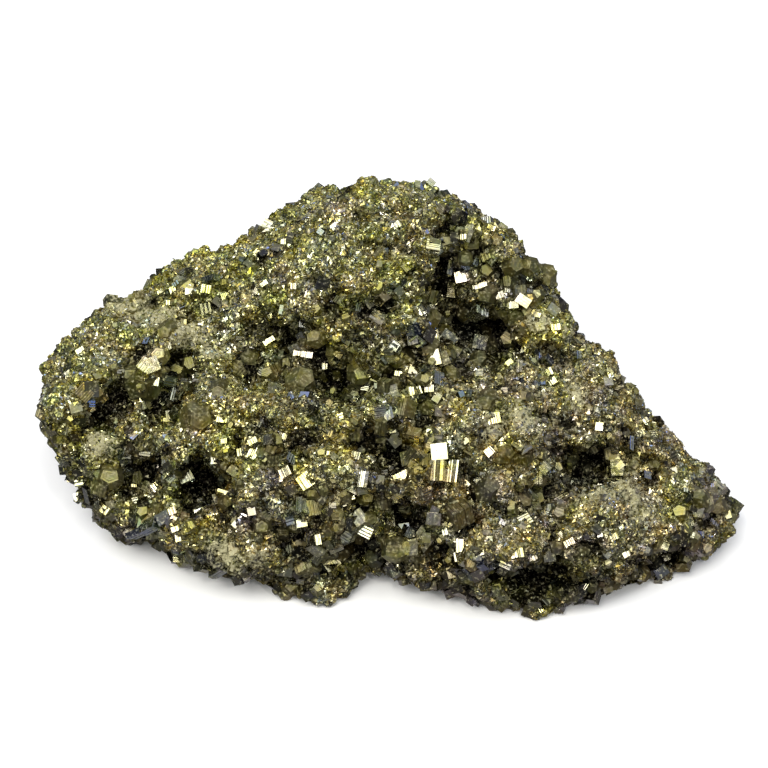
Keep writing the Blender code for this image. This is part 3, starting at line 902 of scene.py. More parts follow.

# %% [markdown]
# ## The crystals that catch the eye
#
# On the front, the crystals that stand out are set one by one. A polished face is seen as
# bright or dark by what it mirrors, so each has a look that names that: warm, pale and high
# faces mirror the lamps above, cool ones the bluish lamp at the side, dull ones the plain sky
# and dark ones the horizon. Painting them bright or dark would be wrong from any other side, so
# the look turns them; even so their colour is painted brighter or darker by look as well, further
# down, as painted highlight and painted shade.

# %% Places of the front's crystals
# Azimuth from the front and elevation, in degrees, of what a look mirrors; a dim one has a choice.
LAMPS = {"warm": (-40, 60), "pale": (-74, 50), "cool": (100, 25), "high": (50, 75)}
DIM = {"dull": ((-88, 35), (60, 35), (180, 40)), "dark": ((-30, 4), (20, 4))}
CRYSTALS = (  # shape, across, up, width, height in mm, turn in degrees, look
    ("cube", 13, 20.6, 3, 2, 12, "warm"), ("cube", 13.6, 22.4, 1.2, 1.5, 20, "cool"),
    ("cube", 15.3, 23.2, 1, 1.9, -25, "cool"), ("cube", 10.8, 22, 1.2, 2.4, -10, "cool"),
    ("cube", 16.8, 24, 1.8, 1.3, 20, "dull"), ("cube", 1.6, 29.3, 1.4, 1.1, 30, "warm"),
    ("cube", 15.8, 19, 2.5, 0.9, 10, "warm"), ("pyritohedron", 13.3, 24.5, 2, 2, 0, "dull"),
    ("pyritohedron", 9.8, 26.7, 2.6, 2, 20, "dull"), ("pyritohedron", 14.5, 26.4, 3.6, 3.4, 0, "dark"),
    ("cube", 8, 17, 1.4, 2.2, -15, "dull"), ("pyritohedron", 16.6, 17.3, 3, 2.6, 0, "dark"),
    ("cube", 13, 27.3, 1.1, 1, 0, "warm"), ("cube", 15.5, 28.5, 1.1, 0.9, 30, "warm"),
    ("cube", 17.8, 28.8, 1.4, 0.9, -20, "warm"), ("cube", -4.9, 15.5, 1, 2, -10, "cool"),
    ("cube", 16.3, 14.7, 2.7, 1.5, -6, "cool"), ("cube", 8.2, 10.4, 1.4, 2, 10, "high"),
    ("cube", 8.9, 3.2, 2.1, 2.5, 0, "cool"), ("cube", 4.2, 1, 0.9, 1.3, 10, "warm"),
    ("cube", 5.6, 1.2, 0.7, 1.3, 20, "warm"), ("cube", 2.5, 2.5, 2.6, 2.4, 15, "dark"),
    ("cube", -0.8, 1.6, 2, 1.8, 0, "dark"), ("cube", 1.9, 4, 1.3, 0.7, -10, "warm"),
    ("pyritohedron", -4.3, 4.2, 3.2, 3, 10, "dull"), ("pyritohedron", 3.2, 6, 3.6, 3, -10, "dark"),
    ("pyritohedron", 7, 8, 2.5, 2.2, 0, "dark"), ("cube", -0.7, -3.6, 1.8, 2.3, -20, "dull"),
    ("cube", 2.4, -1.6, 1.8, 2.7, -15, "dull"), ("pyritohedron", 15.2, 5.8, 2.4, 2.2, 0, "dark"),
    ("pyritohedron", 11, 3, 2.6, 2.4, 30, "dark"), ("cube", 18.2, -3.6, 2.2, 1.8, 10, "warm"),
    ("pyritohedron", 16.5, -1, 3.2, 2.8, 0, "dark"), ("pyritohedron", 6.5, -2, 3, 2.8, 0, "dark"),
    ("pyritohedron", 9.5, 12, 2.8, 2.4, 0, "dull"), ("pyritohedron", 7, 13.5, 2.8, 2.4, 40, "dull"),
    ("cube", 17.4, 8.4, 2.6, 2, 20, "dark"), ("cube", -6, -6.3, 2.8, 2.4, 0, "dark"),
    ("pyritohedron", -1, -7, 2.6, 2.4, 0, "dark"), ("cube", 8.4, -12.5, 2.4, 3.4, -4, "pale"),
    ("cube", 11.2, -12.6, 1.9, 3.8, -8, "pale"), ("cube", -4, -14, 1.7, 2.6, -10, "pale"),
    ("cube", 2.7, -13.8, 2.8, 2.2, 25, "warm"), ("cube", 0, -20.8, 2.6, 2.7, 8, "high"),
    ("pyritohedron", -3.8, -20.5, 2.2, 1.9, 0, "dull"), ("cube", 12.2, -18.6, 3.6, 2.6, 30, "dull"),
    ("cube", 11, -20.8, 2.5, 2.1, 25, "pale"), ("cube", 12.4, -25.3, 1.3, 2.1, 0, "warm"),
    ("cube", 6.4, -10.6, 2.2, 1.9, 0, "dull"), ("cube", 9.8, -22.8, 0.9, 1.4, 15, "warm"),
    ("pyritohedron", 1.3, -24.5, 3.8, 3.4, 0, "dull"), ("pyritohedron", -3.3, -17, 2.4, 2, 0, "dull"),
    ("cube", -1, -18.5, 2.2, 1.6, 10, "dark"), ("pyritohedron", 3.4, -27, 2.2, 2, 0, "dark"),
    ("pyritohedron", 16.5, -16.5, 3.6, 3.4, 0, "dark"), ("cube", 17.4, -9.3, 1.5, 1.3, 40, "warm"),
    ("cube", -13.9, -14.3, 2.3, 2.4, 35, "warm"), ("cube", -17.4, -12.8, 2, 1.5, 25, "pale"),
    ("cube", -14.3, -18.4, 2.6, 2.4, 0, "cool"), ("cube", -19, -11.2, 2.6, 2.2, 0, "dark"),
    ("cube", -16.3, -10.4, 1.9, 1.5, -20, "cool"), ("cube", -20.8, -20, 2.8, 1.5, -30, "dull"),
    ("pyritohedron", -21.3, -22, 2.6, 2.4, 0, "dark"), ("cube", -27.7, -29, 1.6, 1.5, 0, "cool"),
    ("cube", -32.2, -19.6, 1.3, 1.1, 10, "warm"), ("cube", -11.7, -24.3, 1, 1.6, 10, "warm"),
    ("pyritohedron", -15, -24.4, 3, 2.4, 0, "dull"), ("cube", -14.5, -28.4, 3.2, 2.4, 20, "dull"),
    ("cube", -12.4, -18.8, 2.2, 2.6, 10, "dull"), ("pyritohedron", -8.5, -20, 2.6, 2.4, 0, "dark"),
    ("pyritohedron", -32.2, -1.6, 4.6, 4.4, 20, "dull"), ("cube", -14.3, 7.3, 3.4, 0.9, -10, "warm"),
    ("cube", -20.1, 9.6, 2.1, 0.8, 32, "warm"), ("pyritohedron", -15.6, 1.4, 4.2, 3.8, 0, "dark"),
    ("cube", -16.6, 0.1, 0.9, 1.3, -20, "cool"), ("cube", -28.2, -3.9, 1.9, 0.8, -10, "warm"),
    ("cube", -27.8, -7.5, 1.1, 0.8, 0, "pale"), ("cube", -22.9, -7.5, 1.6, 1, 25, "warm"),
    ("cube", -17.7, -6.6, 1.4, 1.1, -20, "pale"), ("cube", -22.8, -9.4, 1.9, 2.3, -25, "pale"),
    ("pyritohedron", -12.5, 10.5, 3, 2.6, 0, "dull"), ("pyritohedron", -23.5, 6.8, 4, 3.8, 0, "dark"),
    ("cube", -19.4, 4.6, 2.6, 1.8, 25, "dark"), ("cube", -10.6, 5.2, 0.9, 0.9, 0, "warm"),
    ("pyritohedron", -28.8, 1, 2.6, 2.4, 0, "dark"), ("pyritohedron", -42.5, 1.4, 5, 4.8, 10, "dark"),
    ("pyritohedron", -39, 7.4, 2.6, 2.6, 20, "warm"), ("cube", -37.3, 8.6, 1.3, 1.1, 20, "pale"),
    ("cube", -36, 0.9, 1.9, 3.4, -12, "cool"), ("pyritohedron", -43.6, 5, 2.6, 2.4, 0, "dull"),
    ("cube", -37.3, 15.9, 0.8, 1.2, 0, "warm"), ("cube", -33.7, 18, 1.5, 1, 0, "warm"),
    ("cube", -36.5, 18.2, 1.2, 1.2, 20, "warm"), ("cube", -49.2, 1.9, 1.2, 0.8, -15, "warm"),
    ("pyritohedron", -38, 2, 2.8, 2.6, 0, "dark"), ("cube", -34.2, -2, 1.4, 1.1, 30, "pale"),
    ("pyritohedron", -38, 11.2, 2.8, 2.4, 0, "dark"), ("cube", -34.6, 12.8, 1.2, 0.8, 0, "pale"),
    ("cube", -52.3, 8, 1.6, 0.8, 32, "warm"), ("cube", -39.2, 2.6, 1, 1.4, -10, "pale"),
    ("cube", -43.6, -12.5, 1.4, 0.8, -20, "cool"), ("cube", -43.1, -14.8, 1, 1, 0, "warm"),
    ("cube", -38.6, -7.5, 1.4, 1.1, 40, "pale"), ("cube", -49, -15.4, 2.6, 3, -15, "dark"),
    ("cube", -39.1, -21.3, 1.5, 2.2, -10, "cool"), ("cube", -41.3, -22.7, 2.3, 1, 12, "cool"),
    ("cube", -36.6, -19.4, 1.4, 1.3, 20, "warm"), ("cube", -36.1, -22.5, 1.3, 0.9, 20, "warm"),
    ("cube", -35.6, -24, 1, 1.2, 10, "warm"), ("pyritohedron", -47, -12, 3.6, 3, 0, "dull"),
    ("cube", -33.1, -14, 0.9, 0.6, 20, "cool"), ("cube", -30.8, 18.4, 1.9, 1.4, -10, "warm"),
    ("cube", -27.5, 17.2, 1.5, 1.1, 20, "warm"), ("cube", -17.7, 26.5, 0.9, 0.9, 0, "warm"),
    ("cube", -8.6, 29.3, 2, 1.1, 32, "warm"), ("cube", -7.2, 36.5, 1, 0.8, -20, "warm"),
    ("cube", -21, 19.3, 1.4, 0.8, 35, "warm"), ("cube", -22.1, 18, 1.3, 1, -30, "warm"),
    ("cube", -15.9, 18.9, 1, 0.9, 0, "warm"), ("cube", -19.9, 13.8, 0.9, 0.9, 30, "warm"),
    ("pyritohedron", -20.3, 30, 3.6, 3.4, 0, "dark"), ("pyritohedron", -24, 27.6, 2.6, 2.4, 0, "dull"),
    ("cube", -29, 20.4, 1.6, 1.2, 0, "cool"), ("cube", 24.2, 20.2, 1.5, 0.9, -5, "warm"),
    ("cube", 22.7, 18.2, 2.3, 1.7, 5, "dull"), ("cube", 20.5, 18.2, 1, 0.7, -5, "warm"),
    ("cube", 21.6, 15.7, 1.7, 1.2, 0, "pale"), ("pyritohedron", 21.9, 13.8, 3.4, 2.8, 0, "dark"),
    ("cube", 28.8, 11.9, 1.7, 1.1, 5, "warm"), ("cube", 25.7, 14, 1.1, 0.9, -20, "pale"),
    ("cube", 22.6, 5.3, 1.1, 2, -5, "pale"), ("cube", 23.4, 8, 1.2, 1.3, -20, "warm"),
    ("pyritohedron", 26.6, 20, 3.4, 3.2, 0, "dark"), ("cube", 24, 22, 1.9, 1.3, 25, "dark"),
    ("pyritohedron", 20.4, 22.9, 3, 2.8, 0, "dull"), ("cube", 27.5, 4.2, 1.5, 1.2, 25, "pale"),
    ("cube", 32.8, 7, 1.5, 1.8, 0, "cool"), ("cube", 38.9, 3.5, 1.1, 0.8, -20, "warm"),
    ("pyritohedron", 23.6, 22.6, 2.6, 2.6, 0, "dull"), ("cube", 41.7, -7.8, 1, 2.5, -5, "cool"),
    ("cube", 31.2, -10.6, 0.9, 1.6, -10, "dull"), ("cube", 22.5, -10.8, 3.2, 1.5, 0, "dark"),
    ("pyritohedron", 22.8, 0.3, 2.6, 2.4, 0, "dull"), ("cube", 28.2, 2.7, 1.4, 1.2, 30, "warm"),
    ("pyritohedron", 38.6, -9.4, 4.2, 3.4, 0, "dull"), ("cube", 31.8, -8.3, 1.6, 0.9, -10, "high"),
    ("pyritohedron", 25.4, -15.9, 3, 2.6, 0, "dull"), ("cube", 22, -26.7, 2.5, 1.4, 10, "pale"),
    ("cube", 24.8, -27.2, 1.4, 1.2, 20, "pale"), ("cube", 31, -24.8, 1.9, 1.1, 25, "pale"),
    ("pyritohedron", 33, -26.5, 3.8, 3.4, 0, "dark"), ("cube", 19.7, -21.4, 1.1, 0.8, -30, "warm"),
    ("cube", 38.7, -23.8, 1.4, 1.1, 20, "pale"), ("cube", 36.3, -23.4, 1, 0.8, 0, "pale"),
    ("cube", 28, -33.4, 1.8, 0.8, -15, "dull"), ("cube", 18.5, -28.6, 1.7, 1, 30, "cool"),
    ("cube", 51, -15.8, 1, 0.8, 0, "cool"), ("pyritohedron", 56, -17.6, 2.8, 2.6, 0, "dull"),
    ("cube", 56.2, -17.1, 1, 0.9, 0, "cool"), ("cube", 55.8, -21.4, 1.8, 0.8, -25, "cool"),
    ("cube", 47.6, -27.3, 1.3, 1.1, 20, "high"), ("cube", 40.8, -26.8, 1.2, 0.8, 25, "pale"),
    ("cube", 46.5, -16.2, 0.9, 0.7, 20, "pale"), ("cube", 44, -4, 1.1, 0.9, 30, "pale"),
    ("cube", 43.6, -9, 0.7, 1.2, 15, "dull"), ("cube", 53.5, -23.3, 1.3, 0.9, 10, "cool"),
)
print("crystals set one by one:", len(CRYSTALS))

# %% [markdown]
# ## Middling crystals
#
# Cubes and pyritohedra of one to two millimetres fill the hollows and stud the ridges. The twelve
# five-sided faces of a pyritohedron follow from its corners alone: eight are a cube's, and
# twelve stand on ridges over the cube's sides. So both are given by their corners and closed by
# a convex hull, which saves writing down any face.

# %% Two crystal forms
def hull(corners):
    """The triangles of the convex hull of a few corners."""
    bm = bmesh.new()
    for corner in corners:
        bm.verts.new(corner)
    bm.verts.index_update()
    bmesh.ops.convex_hull(bm, input=bm.verts)
    bmesh.ops.recalc_face_normals(bm, faces=bm.faces)
    faces = np.array([[v.index for v in face.verts] for face in bm.faces])
    bm.free()
    return faces


cube_points = np.array([(x, y, z) for x in (-0.5, 0.5) for y in (-0.5, 0.5) for z in (-0.5, 0.5)])
ridges = [(0, a, b) for a in (-0.75, 0.75) for b in (-0.375, 0.375)]
ridges += [(a, b, c) for c, a, b in ridges] + [(b, c, a) for c, a, b in ridges]
pyritohedron_points = np.array([tuple(p) for p in cube_points] + ridges) / 1.5
cube_faces, pyritohedron_faces = hull(cube_points), hull(pyritohedron_points)
print("triangles: cube", len(cube_faces), "pyritohedron", len(pyritohedron_faces))

# %% [markdown]
# ## Growth steps
#
# Pyrite's faces carry fine steps, where cube and pyritohedron took turns while it grew. On each
# face they run one way only, along the axis that the face leans to least. Modelled steps would
# be too many triangles, so each corner just notes how far it lies across them, and the finish
# raises them.

# %% Copies of a crystal and their steps
CRYSTAL_STRETCH = (0.75, 1.2)
CRYSTAL_SINK = (-0.35, 0.08)  # how far its middle stands out of the crust, in edges


def random_turns(count, rng):
    """Rotation matrices picked evenly, from random unit quaternions."""
    w, x, y, z = unit(rng.normal(size=(count, 4))).T
    rows = [
        [1 - 2 * (y * y + z * z), 2 * (x * y - z * w), 2 * (x * z + y * w)],
        [2 * (x * y + z * w), 1 - 2 * (x * x + z * z), 2 * (y * z - x * w)],
        [2 * (x * z - y * w), 2 * (y * z + x * w), 1 - 2 * (x * x + y * y)],
    ]
    return np.array(rows).transpose(2, 0, 1)


def crystals_at(places, normals, edge, corners, faces, rng):
    """Copies of one crystal, each turned and stretched at random and half sunk at its place."""
    count = len(places)
    stretch = rng.uniform(*CRYSTAL_STRETCH, (count, 1, 3))
    shaped = corners[None] * stretch * edge[:, None, None]
    turned = np.einsum("nij,nkj->nki", random_turns(count, rng), shaped)
    sunk = rng.uniform(*CRYSTAL_SINK, count) * edge
    points = turned + (places + normals * sunk[:, None])[:, None]
    faces = (np.arange(count)[:, None, None] * len(corners) + faces).reshape(-1, faces.shape[1])
    return points.reshape(-1, 3), faces


def step_places(corners, faces):
    """Where each corner of each face lies across the growth steps of its face.

    The steps run along the axis that the face's normal leans to least."""
    flat = corners[faces]
    normals = unit(area_vectors(flat))
    main = np.abs(normals).argmax(axis=1)
    rest = np.stack([(main + 2) % 3, (main + 1) % 3], axis=1)
    leans = np.take_along_axis(np.abs(normals), rest, axis=1)
    least = np.where(leans[:, 0] <= leans[:, 1] + 1e-6, rest[:, 0], rest[:, 1])
    across = np.cross(normals, np.eye(3)[least])
    return (flat * across[:, None]).sum(axis=2)


print("steps on a cube's face, from", *step_places(cube_points, cube_faces)[0].round(2))

# %% [markdown]
# ## Room for them
#
# They are scattered by area again, mostly in hollows and rooms, and smaller near the large
# crystals. A chance crystal in front of one that is set one by one would hide it, so the places
# round those are left free: more for a bright one, which has to be seen whole.

# %% Leave places free
BRIGHT_MARGIN, DIM_MARGIN = 0.7, 0.2  # round a listed crystal, in mm

across, up, facing = on_board(on_face(crust_points), face_normals)
free = np.ones(len(face_normals))
for _, middle, height, wide_mm, high_mm, _, look in CRYSTALS:
    margin = BRIGHT_MARGIN if look in LAMPS else DIM_MARGIN
    reach = np.array((wide_mm, high_mm)) / 2 + margin
    free[np.hypot((across - middle) / reach[0], (up - height) / reach[1]) < 1] = 0
free = np.where(facing > 0, free, 1)
print("share left free:", (free == 0).mean().round(3))

# %% [markdown]
# ## Growing them
#
# One loop grows both kinds. In a deep gap a crystal is painted nearly as dark as the gap, as
# painted shade, and each has its own tone, because a film of tarnish takes hold on one and not on
# the next.

# %% Grow cubes and pyritohedra
CUBES, PYRITOHEDRA = 4600, 1700
CUBE_EDGE = (0.8 * MM, 2.6 * MM)
PYRITOHEDRON_SIZE = 1.35  # beside a cube's, so that both look equally large
STEP_WIDTHS = (0.45, 1.4)  # of a crystal's growth steps, beside each other
STEP_SHIFT = 50  # sets the steps of two crystals apart
DUST_ON_CRYSTALS = 0.6

face_gap, face_bare = on_face(gap), on_face(bare)
# painted shade on the crystals: half of their place's shade, or nearly all of a gap's
face_painted_shade = np.maximum(0.5 * face_shade, 0.95 * face_gap)
weight = (0.03 + face_room**1.5) * (1 - 0.8 * face_gap**2) * free
for name, count, corners, shape, reach, brightest in (
    ("cubes", CUBES, cube_points, cube_faces, 1.0, 0.8),
    ("pyritohedra", PYRITOHEDRA, pyritohedron_points, pyritohedron_faces, PYRITOHEDRON_SIZE, 0.5),
):
    places, picked = scatter(crust_points, crust_triangles, weight, count, rng)
    normals, own_bare = face_normals[picked], face_bare[picked]
    places += normals * (CRUST_DIP * (1 - own_bare))[:, None]
    spread = (CUBE_EDGE[1] - CUBE_EDGE[0]) * rng.random(count) ** 1.4
    size = CUBE_EDGE[0] + spread * (0.25 + 0.75 * face_room[picked])
    size *= 0.45 + 0.55 * own_bare
    points, faces = crystals_at(places, normals, size * reach, corners, shape, rng)
    points[:, 2] = np.maximum(points[:, 2], CRYSTAL_FLOOR)
    group = make_piece(name, points, faces)
    tone = np.repeat(rng.random(count) ** 1.5 * brightest, len(corners))
    owner = np.repeat(picked, len(corners))
    store(group, tone, face_painted_shade[owner], face_dust[owner] * DUST_ON_CRYSTALS)
    width = rng.uniform(*STEP_WIDTHS, count)
    values = step_places(corners, shape)[None] * (size * reach / MM / width)[:, None, None]
    store_steps(group, values + rng.random((count, 1, 1)) * STEP_SHIFT)
    print(name, len(faces), "triangles")

# %% [markdown]
# ## Blocks of slabs
#
# A large cube on the front is rarely one flat face. It grew as slabs side by side that meet in
# fine grooves, which is why such faces look striated. A bump would vanish at their edges, so
# the slabs are modelled, each a little higher, longer or more tilted than the next.

# %% The shape of a striated block
SLAB = 0.55  # width of the slabs that a striated face is made of, in mm
GROOVE = 0.1  # depth of the grooves between them, in mm
SLAB_WIDTH, SLAB_RISE, SLAB_END, SLAB_LEAN = 0.3, 0.1, 0.08, 0.03  # how much each slab differs
SLAB_STEP = 1.6  # place across the growth steps for each mm along x


def striated(width, height, thick, rng):
    """A block of slabs side by side, in mm: the points, quads and growth steps of its corners.

    Rings of four points follow each other along x: a slab's two ends, then the groove."""
    slabs = max(2, round(width / SLAB))
    ends = np.linspace(-0.5, 0.5, slabs + 1) * width
    ends[1:-1] += rng.uniform(-SLAB_WIDTH, SLAB_WIDTH, slabs - 1) * width / slabs
    level = 0.5 * thick + rng.uniform(-SLAB_RISE, SLAB_RISE, slabs)
    reach = 0.5 * height + rng.uniform(-SLAB_END, SLAB_END, slabs)
    lean = rng.uniform(-SLAB_LEAN, SLAB_LEAN, slabs)
    valley = [np.minimum(v, np.roll(v, -1)) - GROOVE for v in (level, reach)]
    x = np.stack([ends[:-1] + GROOVE / 3, ends[1:] - GROOVE / 3, ends[1:]], axis=1).ravel()[:-1]
    z = np.stack([level + lean, level - lean, valley[0]], axis=1).ravel()[:-1]
    y = np.stack([reach, reach, valley[1]], axis=1).ravel()[:-1]
    low = np.full(len(x), -0.5 * thick)
    corners = ((-y, z), (y, z), (y, low), (-y, low))
    points = np.stack([np.stack([x, *pair], axis=1) for pair in corners], axis=1).reshape(-1, 3)
    first = np.arange(len(x) - 1)[:, None] * 4
    walls = [first + np.array([k, k + 4, (k + 1) % 4 + 4, (k + 1) % 4]) for k in range(4)]
    caps = np.array([[0, 1, 2, 3], [len(points) - 1 - k for k in range(4)]])
    faces = np.concatenate(walls + [caps])
    return points, faces, SLAB_STEP * points[faces, 0]


print("a block 3 mm wide:", len(striated(3, 2, 2, np.random.default_rng(0))[1]), "faces")

# %% [markdown]
# ## Ringed pyritohedra
#
# On a pyritohedron the growth steps follow all five sides of a face and close to rings. So each
# face becomes a fan of triangles round its middle, and the steps count outward from there. The
# hull's triangles have no such middle, but they tell which sides are the face's rim: those that
# belong to only one of its triangles.

# %% The shape of a ringed pyritohedron
RINGED_SIZE = 1.25  # its corners' reach beside the width that is asked for


def ringed_pyritohedron(width, height, thick, rng):
    """A pyritohedron of that size, in mm: each face a fan of triangles round its middle.

    The growth steps count outward from there, so they run parallel to the face's edges. It
    takes rng like the striated block, but draws nothing."""
    normals = unit(area_vectors(pyritohedron_points[pyritohedron_faces])).round(3)
    _, face = np.unique(normals, axis=0, return_inverse=True)
    edges = sides_of(pyritohedron_faces)
    owner = np.tile(face.ravel(), 3)
    rim = used_once(np.sort(edges, axis=1) @ np.array([20, 1]) + owner * 1000)
    edges, owner = edges[rim], owner[rim]
    corners = pyritohedron_points * (np.array((width, height, thick)) * RINGED_SIZE)
    middles = np.stack([np.bincount(owner, v) / 5 for v in corners[edges[:, 0]].T], axis=1)
    faces = np.column_stack([edges, len(corners) + owner])
    centre = (corners[edges[:, 0]] + corners[edges[:, 1]]) / 2
    away = np.linalg.norm(centre - middles[owner], axis=1)
    return np.concatenate([corners, middles]), faces, np.column_stack([away, away, 0 * away])


SHAPES = {"cube": striated, "pyritohedron": ringed_pyritohedron}
print("a ringed pyritohedron:", len(ringed_pyritohedron(1, 1, 1, None)[1]), "triangles")

# %% [markdown]
# ## Where a crystal's face looks
#
# A polished face sends a lamp to the eye when its normal halves the angle between the two. That
# makes the turn of each crystal follow from its look, where trying out angles would take many
# renders. In a hollow the lumps round it may hide the lamp, so the crystal comes forward along
# the sight line, which keeps its place on the board, until its face sees the lamp.

# %% Turn and lift a crystal
LIFTS = (0.7, 1.1, 1.5, 1.9, 2.3)  # toward the eye, in mm
BRIGHT_LEAN, DIM_LEAN = 0.05, 0.1  # chance lean of a face, in radians


def bearing_of(azimuth, elevation):
    """The direction of a lamp seen at that azimuth, from the front, and elevation."""
    a, e = math.radians(azimuth), math.radians(elevation)
    return Vector((math.sin(a) * math.cos(e), -math.cos(a) * math.cos(e), math.sin(e)))


def turned_to(ray, turn, look, shape, rng):
    """The bearing that a crystal's outer face mirrors, its normal, and the crystal's turn.

    The normal is the half vector (mirrored - ray) / |mirrored - ray|, leaned by chance."""
    if look in LAMPS:
        mirrored, lean = bearing_of(*LAMPS[look]), BRIGHT_LEAN
    else:
        mirrored, lean = bearing_of(*DIM[look][rng.integers(len(DIM[look]))]), DIM_LEAN
    outward = (mirrored - ray).normalized()
    outward = (outward + Vector(rng.normal(0, lean, 3))).normalized()
    side = (right - outward * right.dot(outward)).normalized()
    turned = Matrix((side, outward.cross(side), outward)).transposed()
    turned = turned @ Matrix.Rotation(math.radians(turn), 3, "Z")
    if shape == "pyritohedron":
        turned = turned @ Matrix.Rotation(math.atan(0.5), 3, "X")
    return mirrored, outward, turned


def lifted(place, ray, mirrored):
    """How far toward the eye a face has to stand, in mm, to see what it mirrors over the crust."""
    for lift in LIFTS:
        if crust_tree.ray_cast(place - ray * lift * MM, mirrored)[0] is None:
            return lift
    return LIFTS[-1]


crust_tree = BVHTree.FromObject(crust, bpy.context.evaluated_depsgraph_get())
print("the warm lamp stands at", [round(v, 2) for v in bearing_of(*LAMPS["warm"])])

# %% [markdown]
# ## Setting them in place
#
# Each crystal on the list is built in millimetres, turned, and moved so that its outer face
# stands on the sight line. They become three pieces by shape and look, since each piece has one
# finish. A whole number in the tone sets how bright a crystal is painted: warm, cool and high
# crystals are painted brightest and dark ones darkest, which is painted highlight and painted
# shade. The rest of it picks the film of tarnish: clean, amber or steel blue.

# %% Set the crystals in place
# painted highlight and painted shade: the look sets the tone's whole number, and with it how bright the
# colour is
PAINTED_LIGHT_TONES = {"warm": (2, 6), "pale": (0, 4), "cool": (4, 7), "high": (4, 7), "dull": (0, 2), "dark": (-2, 0)}
FILMS = 7  # whole steps of tone
# a cool crystal's steel-blue film is partly real tarnish and partly a painted reflection of the bluish
# lamp it mirrors
COOL_REFLECTION_FILM, OTHER_FILMS = 0.95, (0.1, 0.7)
LEAST_THICK = 1.0  # a set crystal is at least this thick, in mm, before it is lifted
SET_STEPS = (0.6, 1.3)  # width of its growth steps, beside each other


def set_crystals(shape, looks, rng):
    """The crystals of that shape and those looks: their points, faces, steps and tones."""
    made, start = [], 0
    for kind, across, up, width, height, turn, look in CRYSTALS:
        ray = sight_ray(across, up)
        place = crust_tree.ray_cast(eye, ray)[0]
        mirrored, outward, turned = turned_to(ray, turn, look, kind, rng)
        if kind != shape or look not in looks or place is None:
            continue
        lift = lifted(place, ray, mirrored) if look in LAMPS else LIFTS[0]
        thick = max(0.5 * (width + height), LEAST_THICK) + lift
        corners, sides, steps = SHAPES[shape](width, height, thick, rng)
        middle = place - (ray * lift + outward * 0.5 * thick) * MM
        points = corners * MM @ np.array(turned).T + np.array(middle)
        steps = steps / rng.uniform(*SET_STEPS) + rng.random() * STEP_SHIFT
        film = COOL_REFLECTION_FILM if look == "cool" else rng.uniform(*OTHER_FILMS)
        tones = np.full(len(corners), (rng.integers(*PAINTED_LIGHT_TONES[look]) + film) / FILMS)
        made.append((points, sides + start, steps, tones))
        start += len(corners)
    return [np.concatenate(parts) for parts in zip(*made)]


for name, shape, looks in (
    ("bright_blocks", "cube", tuple(LAMPS)),
    ("dull_blocks", "cube", tuple(DIM)),
    ("ringed_pyritohedra", "pyritohedron", tuple(LAMPS) + tuple(DIM)),
):
    points, faces, steps, tones = set_crystals(shape, looks, rng)
    group = make_piece(name, points, faces)
    store(group, tones, np.zeros(len(tones)), np.zeros(len(tones)))
    store_steps(group, steps)
    print(name, len(faces), "faces")

# %% [markdown]
# ## Finishes
#
# Pyrite is a brassy yellow mineral that shines like metal. It has no dielectric part, so
# Metallic is 1 and the base colour is its reflection seen straight on. The finishes are made of
# noises in real millimetres on the object's own coordinates. Painted images would need a
# seamless map of the whole crust, and would blur from close by.

# %% Colour and node helpers
def linear(code):
    """An sRGB hex colour as linear values with alpha: the curved part above 0.04, else by 12.92."""
    parts = [int(code[k : k + 2], 16) / 255 for k in (1, 3, 5)]
    return [((p + 0.055) / 1.055) ** 2.4 if p > 0.04045 else p / 12.92 for p in parts] + [1.0]


def add_node(tree, kind, stops=(), **fields):
    """Adds a node. Fields in small letters are its own settings, and the others its sockets.

    A socket goes by its name or by its number, and takes a value or a link. Stops are a colour
    ramp's pairs of position and colour, from first to last; a new ramp has its two ends."""
    node = tree.nodes.new("ShaderNode" + kind)
    for k, (position, colour) in enumerate(stops):
        elements = node.color_ramp.elements
        inner = 0 < k < len(stops) - 1
        stop = elements.new(position) if inner else elements[-1 if k else 0]
        stop.position, stop.color = position, colour
    for name, value in fields.items():
        if name.islower():
            setattr(node, name, value)
            continue
        socket = node.inputs[int(name[1:]) if name[0] == "_" else name.replace("_", " ")]
        if isinstance(value, bpy.types.NodeSocket):
            tree.links.new(value, socket)
        else:
            socket.default_value = value
    return node


print("mid grey #808080 is", round(linear("#808080")[0], 3), "in linear light")

# %% [markdown]
# ## The small facets
#
# Between the modelled grains there are facets finer than a third of a millimetre. On the crust
# and the grains each cell of a Voronoi texture tilts the normal its own way, so they glitter one
# by one. A bump map would only round them off. On the larger crystals the growth steps are
# raised instead, more on those whose tone is high.

# %% Normals of facets and growth steps
GLINT = 0.3 * MM  # width of the facets: real ones go much finer, but would not show
STEP = 0.45  # width of a growth step in mm, again as coarse as it needs to show
LEAST_STEP = 0.15  # share of their height that even the flattest face has


def facet_normal(tree, place, tilt):
    """The normal tilted cell by cell: normalize(normal + tilt * (random colour - 0.5))."""
    cells = add_node(tree, "TexVoronoi", Vector=place, Scale=1 / GLINT).outputs["Color"]
    lean = add_node(tree, "VectorMath", operation="SUBTRACT", _0=cells, _1=(0.5, 0.5, 0.5))
    lean = add_node(tree, "VectorMath", operation="SCALE", _0=lean.outputs[0], Scale=tilt)
    normal = add_node(tree, "NewGeometry").outputs["Normal"]
    normal = add_node(tree, "VectorMath", operation="ADD", _0=normal, _1=lean.outputs[0])
    return add_node(tree, "VectorMath", operation="NORMALIZE", _0=normal.outputs[0]).outputs[0]


